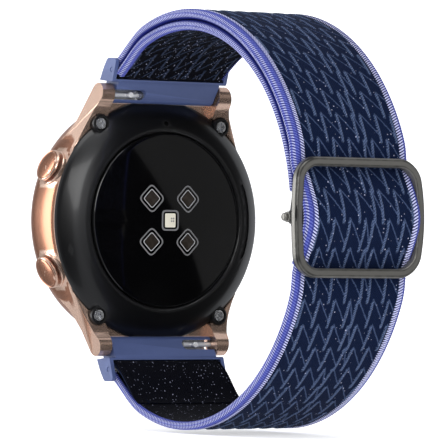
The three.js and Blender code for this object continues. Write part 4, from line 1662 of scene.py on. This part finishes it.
# ---- Connectors -----------------------------------------------------------------------------
@dataclass
class Connector:
    """One strap connector with its rod and its quick-release spring bar."""

    side: str
    bar_y: float = -21.9
    bar_z: float = 20.0
    rod_y: float = -19.3
    rod_z: float = 23.9
    rod_radius: float = 0.5
    head_half: float = 11.0
    tongue_half: float = 9.7
    pocket_half: float = 10.35
    slot_from: float = 4.6
    tube_r: float = 0.8
    tube_bore: float = 0.5
    travel: float = 1.3
    tip_r: float = 0.42
    dimple_depth: float = 0.12
    rod_end_wall: float = 0.25
    rod_half: float = 10.7

    @property
    def body(self) -> str:
        """The CAD body of the connector."""
        return f"{self.side}_connector"

    def placed(self, made: bpy.types.Object) -> bpy.types.Object:
        """Turns a piece of the twelve o'clock side onto this connector's side."""
        if self.side == "bottom":
            made.data.transform(Matrix.Rotation(math.pi, 4, "Y"))
        return made

    def build_body(self, plastic: bpy.types.Material) -> None:
        """Builds the moulded connector.

        Args:
            plastic: The connector's material.
        """
        neck = [(-23.15, 20.3), (-22.7, 22.5), (-19.0, 22.4), (-19.3, 21.5), (-20.75, 19.4)]
        head = curve_through([(-22.7, 22.35), (-21.75, 24.1), (-20.75, 25.5)], 5)
        head += [
            (-20.3, 25.8), (-19.2, 25.78), (-18.3, 25.6), (-18.02, 25.2), (-18.5, 23.6), (-19.0, 22.1),
            (-19.3, 21.95),
        ]
        shell = mesh_of(f"{self.side}_connector_shell", prism(head, -self.head_half, self.head_half))
        turn = math.degrees(math.atan2(self.rod_z, self.rod_y)) - 90
        channel = arc((self.rod_y, self.rod_z), 1.6, turn + 90, turn + 270, 24)
        channel += [(self.rod_y + 4.2, self.rod_z + 2.4), (self.rod_y + 1.6, self.rod_z + 4.6)]
        combine(
            shell,
            add=[
                prism(neck, -self.tongue_half, self.tongue_half),
                rod(1.3, -self.tongue_half, self.tongue_half, self.bar_y, self.bar_z, 0, 48),
            ],
            cut=[
                prism(channel, -self.pocket_half, self.pocket_half),
                rod(
                    self.rod_radius + 0.08, -self.head_half + self.rod_end_wall,
                    self.head_half - self.rod_end_wall, self.rod_y, self.rod_z, 0, 32,
                ),
                *(
                    rod(self.tip_r, *sorted((s * (self.head_half - self.dimple_depth), s * 12.0)),
                        self.rod_y, self.rod_z, 0, 32)
                    for s in (1, -1)
                ),
                rod(1.0, -THROUGH, THROUGH, self.bar_y, self.bar_z, 0, 40),
                block((self.slot_from, self.bar_y, self.bar_z - 0.78), (12, self.bar_y + 3, self.bar_z + 0.78)),
                moved(capped_turn([(0.78, self.bar_y), (0.78, self.bar_y + 3)], 40),
                      Matrix.Translation((self.slot_from, 0, self.bar_z))),
            ],
        )
        soften(shell, 0.2, angle=30, segments=3)
        finish_piece(self.placed(shell), plastic, self.body, [f"{self.side}_connector"])

    def build_bar(self, steel: bpy.types.Material, bright: bpy.types.Material) -> None:
        """Builds the strap rod, the spring bar's tube and spring, and the sliding release.

        Args:
            steel: Material of the steel pieces.
            bright: Material of the release pieces.
        """
        y, z = self.bar_y, self.bar_z
        strap_rod = rod(self.rod_radius, -self.rod_half, self.rod_half, self.rod_y, self.rod_z, 0.12)
        pin = self.placed(mesh_of(f"{self.side}_strap_rod_pin", strap_rod))
        finish_piece(pin, steel, self.body, [f"{self.side}_strap_rod"])
        tube = mesh_of(f"{self.side}_bar_tube", rod(self.tube_r, -8.9, 9.0, y, z, 0.12, 48))
        combine(tube, add=[rod(self.tip_r, -11.3, -8.8, y, z, 0.12)],
                cut=[rod(self.tube_bore, -7.4, 10, y, z, 0, 32),
                     block((self.slot_from, y + 0.1, z - 0.9), (12, y + 2, z + 0.9))])
        soften(tube, 0.04, angle=35)
        finish_piece(self.placed(tube), steel, self.body, [f"{self.side}_spring_bar_tube"])
        turns, radius, wire, start, end = 14, 0.36, 0.07, -7.2, 2.7
        a = np.linspace(0, turns * 2 * math.pi, turns * 20)
        across = np.linspace(0, 2 * math.pi, 9)[:-1]
        rings = []
        for angle, x in zip(a, np.linspace(start, end, len(a))):
            r = radius + wire * np.cos(across)
            rings.append(np.column_stack([
                x + wire * np.sin(across), y + r * math.cos(angle), z + r * math.sin(angle),
            ]))
        spring = mesh_of(f"{self.side}_bar_spring_coil", loft(rings))
        finish_piece(
            self.placed(spring), steel, self.body, [f"{self.side}_bar_spring"], sharp=80, even=False,
        )
        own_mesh(spring)
        tip = mesh_of(f"{self.side}_sliding_tip_pin", rod(0.44, 3.0, 9.2, y, z, 0.05))
        combine(tip, add=[rod(self.tip_r, 9.0, 11.3, y, z, 0.14)])
        body = f"{self.side}_release"
        finish_piece(self.placed(tip), bright, body, [f"{self.side}_sliding_tip"])
        knob_x = self.slot_from + self.travel + 0.6
        side = [
            (0.34, y + 0.3), (0.34, y + 1.2), (0.46, y + 1.3), (0.46, y + 1.5), (0.38, y + 1.6), (0.15, y + 1.62),
        ]
        knob = moved(capped_turn(side, 32), Matrix.Translation((knob_x, 0, z)))
        made = mesh_of(f"{self.side}_release_knob_pin", knob)
        finish_piece(self.placed(made), bright, body, [f"{self.side}_release_knob"])


# ---- Studio ---------------------------------------------------------------------------------
@dataclass
class Studio:
    """The pale sweep, the lights and the camera."""

    azimuth: float = 34.4
    elevation: float = -0.5
    roll: float = 0.6
    aim: tuple[float, float, float] = (0.0, -3.2, -0.6)
    distance: float = 684.0
    lens: float = 348.75
    floor_z: float = -33.4

    def sweep(self) -> None:
        """A floor that curves up behind the watch into a backdrop."""
        away = Matrix.Rotation(math.radians(-self.azimuth), 4, "Z")
        bend = arc((-900.0, 300.0), 300.0, -90, -180, 24)[1:]
        profile = [(1300.0, 0.0), (-900.0, 0.0), *bend, (-1200.0, 1300.0)]
        points, faces = [], []
        for x in (-1600.0, 1600.0):
            points += [tuple(away @ Vector((x, y, z + self.floor_z))) for y, z in profile]
        n = len(profile)
        for i in range(n - 1):
            faces.append((i, i + 1, n + i + 1, n + i))
        made = mesh_of("studio_sweep", (np.asarray(points), faces))
        made.data.shade_smooth()
        material, g, shader, place = new_material("pale sweep")
        g.put(shader.inputs["Base Color"], g.mix(g.noise(place, 6.0), (0.90, 0.90, 0.90), (0.93, 0.93, 0.93)))
        shader.inputs["Roughness"].default_value = 0.9
        shader.inputs["Specular IOR Level"].default_value = 0.1
        shader.inputs["Emission Color"].default_value = (1, 1, 1, 1)
        shader.inputs["Emission Strength"].default_value = 0.55
        made.data.materials.append(material)
        made.visible_glossy = False

    def light(self, name: str, azimuth: float, elevation: float, far: float, size: tuple[float, float],
              power: float, colour: Colour = (1, 1, 1)) -> None:
        """An area light that faces the watch, at an azimuth in degrees from +X towards +Y.

        Args:
            name: Its name.
            azimuth: Degrees from +X towards +Y.
            elevation: Degrees above the horizon.
            far: Distance from the loop's centre.
            size: Width and height.
            power: Power in watts.
            colour: Colour of the light.
        """
        data = bpy.data.lights.new(name, "AREA")
        data.shape, data.size, data.size_y = "RECTANGLE", size[0] * MM, size[1] * MM
        data.energy, data.color = power, colour
        lamp = bpy.data.objects.new(name, data)
        a, e = math.radians(azimuth), math.radians(elevation)
        lamp.location = Vector((math.cos(a) * math.cos(e), math.sin(a) * math.cos(e), math.sin(e))) * far * MM
        lamp.rotation_euler = (-lamp.location).to_track_quat("-Z", "Y").to_euler()
        bpy.context.scene.collection.objects.link(lamp)

    def card(self, name: str, azimuth: float, elevation: float, far: float, size: tuple[float, float],
             glow: float, tilt: float = 0.0) -> None:
        """A flat card that only the gloss mirrors, with a brightness and a tilt in degrees in its own plane.

        Args:
            name: Its name.
            azimuth: Degrees from +X towards +Y.
            elevation: Degrees above the horizon.
            far: Distance from the loop's centre.
            size: Width and height.
            glow: Brightness.
            tilt: Turn in its own plane, in degrees.
        """
        w, h = size[0] / 2, size[1] / 2
        part = (np.array([(-w, 0, -h), (w, 0, -h), (w, 0, h), (-w, 0, h)], float), [(0, 1, 2, 3)])
        made = mesh_of(name, part)
        made.data.transform(Matrix.Rotation(math.radians(tilt), 4, "Y"))
        a, e = math.radians(azimuth), math.radians(elevation)
        made.location = Vector((math.cos(a) * math.cos(e), math.sin(a) * math.cos(e), math.sin(e))) * far * MM
        made.rotation_euler = (-made.location).to_track_quat("Y", "Z").to_euler()
        material, g, shader, place = new_material(name)
        g.put(shader.inputs["Emission Color"], g.mix(g.noise(place, 8.0), (1.0, 1.0, 1.0), (0.9, 0.9, 0.9)))
        shader.inputs["Emission Strength"].default_value = glow
        shader.inputs["Base Color"].default_value = (0, 0, 0, 1)
        shader.inputs["Specular IOR Level"].default_value = 0.0
        made.data.materials.append(material)
        made.visible_diffuse = made.visible_shadow = made.visible_camera = False

    def build(self) -> None:
        """Sets up the sweep, world, lights, cards and camera."""
        scene = bpy.context.scene
        self.sweep()
        world = bpy.data.worlds.new("studio")
        world.use_nodes = True
        backdrop = world.node_tree.nodes["Background"]
        backdrop.inputs["Color"].default_value = (0.93, 0.95, 1.0, 1)
        backdrop.inputs["Strength"].default_value = 0.62
        scene.world = world
        self.light("overhead softbox", 60, 70, 700, (600, 300), 1.2)
        self.light("side strip", -40, 4, 600, (280, 700), 3.2)
        self.light("front fill", 62, 20, 800, (400, 400), 2.0)
        self.card("flag, buttons side", -76, 0, 620, (240, 900), 0.25)
        self.card("flag, behind the camera", 38, 0, 760, (620, 1500), 0.02)
        self.card("flag, band side", 130, 0, 560, (1100, 1500), 0.01)
        self.card("window, band side", 136.7, 7.8, 500, (210, 436), 0.2, tilt=-34)
        camera = bpy.data.cameras.new("camera")
        camera.lens, camera.sensor_width = self.lens, 36.0
        camera.clip_start, camera.clip_end = 0.01, 10.0
        view = bpy.data.objects.new("camera", camera)
        a, e = math.radians(90 - self.azimuth), math.radians(self.elevation)
        back = Vector((math.cos(a) * math.cos(e), math.sin(a) * math.cos(e), math.sin(e)))
        view.location = (Vector(self.aim) + back * self.distance) * MM
        turn = Matrix.Rotation(math.radians(self.roll), 4, "Z")
        view.rotation_euler = ((-back).to_track_quat("-Z", "Y").to_matrix().to_4x4() @ turn).to_euler()
        scene.collection.objects.link(view)
        scene.camera = view
        scene.view_settings.view_transform = "Standard"
        scene.view_settings.look = "None"


# ---- Assembly -------------------------------------------------------------------------------
def finishes(effects: Effects) -> dict[str, bpy.types.Material]:
    """Builds the plain finishes by name.

    Args:
        effects: The shared node groups.

    Returns:
        The materials by name.
    """
    # Each metal's third colour is painted on its edges: a painted highlight, and on the gunmetal a painted shade.
    steel = Metal((0.62, 0.63, 0.65), 0.22, (0.85, 0.86, 0.88), (1.0, 0.1, 0.1), 0.002, 0.85)
    made = {
        "rose_metal": Metal((0.42, 0.195, 0.12), 0.22, (0.86, 0.60, 0.47), (0.15, 1.0, 0.15), 0.0001, 0.88),
        "bright_steel": steel,
        "bright_pin": Metal((0.85, 0.85, 0.87), 0.2, (1.0, 1.0, 1.0), (1.0, 0.1, 0.1), 0.002, 0.35),
        "gunmetal": Metal((0.19, 0.185, 0.17), 0.32, (0.018, 0.018, 0.017), (0.2, 1.0, 1.0), 0.002, 0.55, 0.025),
        "gunmetal_rod": Metal((0.17, 0.165, 0.15), 0.3, (0.25, 0.24, 0.22), (0.2, 1.0, 1.0), 0.002, 0.55),
        "battery_foil": Metal((0.5, 0.5, 0.51), 0.35, (0.7, 0.7, 0.7), (1.0, 1.0, 0.08), 0.01),
        "cover_black": Polymer((0.003, 0.003, 0.0035), 0.32, 0.3, 0.0006, coat=0.25, dust=0.002),
        "rear_glass": Polymer((0.0012, 0.0012, 0.0015), 0.06, 0.6, 0.0004, coat=0.3, dust=0.002),
        "display_glass": Polymer((0.001, 0.001, 0.0013), 0.05, 0.6, 0.0004, coat=0.5, dust=0.002),
        "inner_plastic": Polymer((0.012, 0.012, 0.014), 0.5, 0.15, 0.006),
        "seal_rubber": Polymer((0.012, 0.012, 0.012), 0.75, 0.12, 0.008),
        "ferrite": Polymer((0.018, 0.018, 0.02), 0.6, 0.2, 0.008),
        "slate_plastic": Polymer((0.063, 0.092, 0.225), 0.42, 0.09, 0.006, dust=0.01, shade=0.88),
        "sensor_chip": Polymer((0.024, 0.017, 0.012), 0.3, 0.3, 0.01, coat=0.4),
        "sensor_light": Polymer((0.85, 0.80, 0.66), 0.35, 0.3, 0.01, coat=0.3, shade=0.9),
        "window_grey": Polymer((0.16, 0.16, 0.165), 0.4, 0.2, 0.004),
        "window_line": Polymer((0.42, 0.42, 0.43), 0.4, 0.2, 0.004),
        "circuit_board": CircuitBoard(),
        "copper_coil": WireCoil(),
    }
    return {name: finish.material(name.replace("_", " "), effects) for name, finish in made.items()}


def dress_frame(materials: dict[str, bpy.types.Material]) -> None:
    """Gives every CAD node the finish of its slot in the record."""
    slots = {part["node"]: part["material_slot"] for part in frame["record"]["subparts"]}
    for name, made in frame["nodes"].items():
        slot = slots.get(name)
        if slot in materials:
            made.data.materials.clear()
            made.data.materials.append(materials[slot])


def main() -> None:
    """Builds the watch, its band and the studio in order."""
    logging.basicConfig(level=logging.INFO, format="%(name)s: %(message)s")
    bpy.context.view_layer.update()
    effects = Effects()
    materials = finishes(effects)
    band = Band()
    fabrics = Fabrics(band.weave, effects)
    band_cloth = fabrics.material("band weave, frame", Face.PLAIN, Face.PLAIN)
    dress_frame({**materials, "band_weave": band_cloth})
    head = WatchHead()
    head.build_case(materials["rose_metal"])
    head.build_cover(materials["cover_black"], materials["bright_steel"])
    head.build_glasses(materials["rear_glass"], materials["display_glass"])
    head.build_sensors(
        materials["window_grey"], materials["window_line"], materials["sensor_chip"], materials["sensor_light"],
    )
    head.build_buttons(materials["rose_metal"])
    for side in ("top", "bottom"):
        connector = Connector(side)
        connector.build_body(materials["slate_plastic"])
        connector.build_bar(materials["bright_steel"], materials["bright_pin"])
    band.build(fabrics)
    Buckle().build(materials["gunmetal"], materials["gunmetal_rod"])
    Studio().build()
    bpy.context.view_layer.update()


if __name__ == "__main__":
    main()
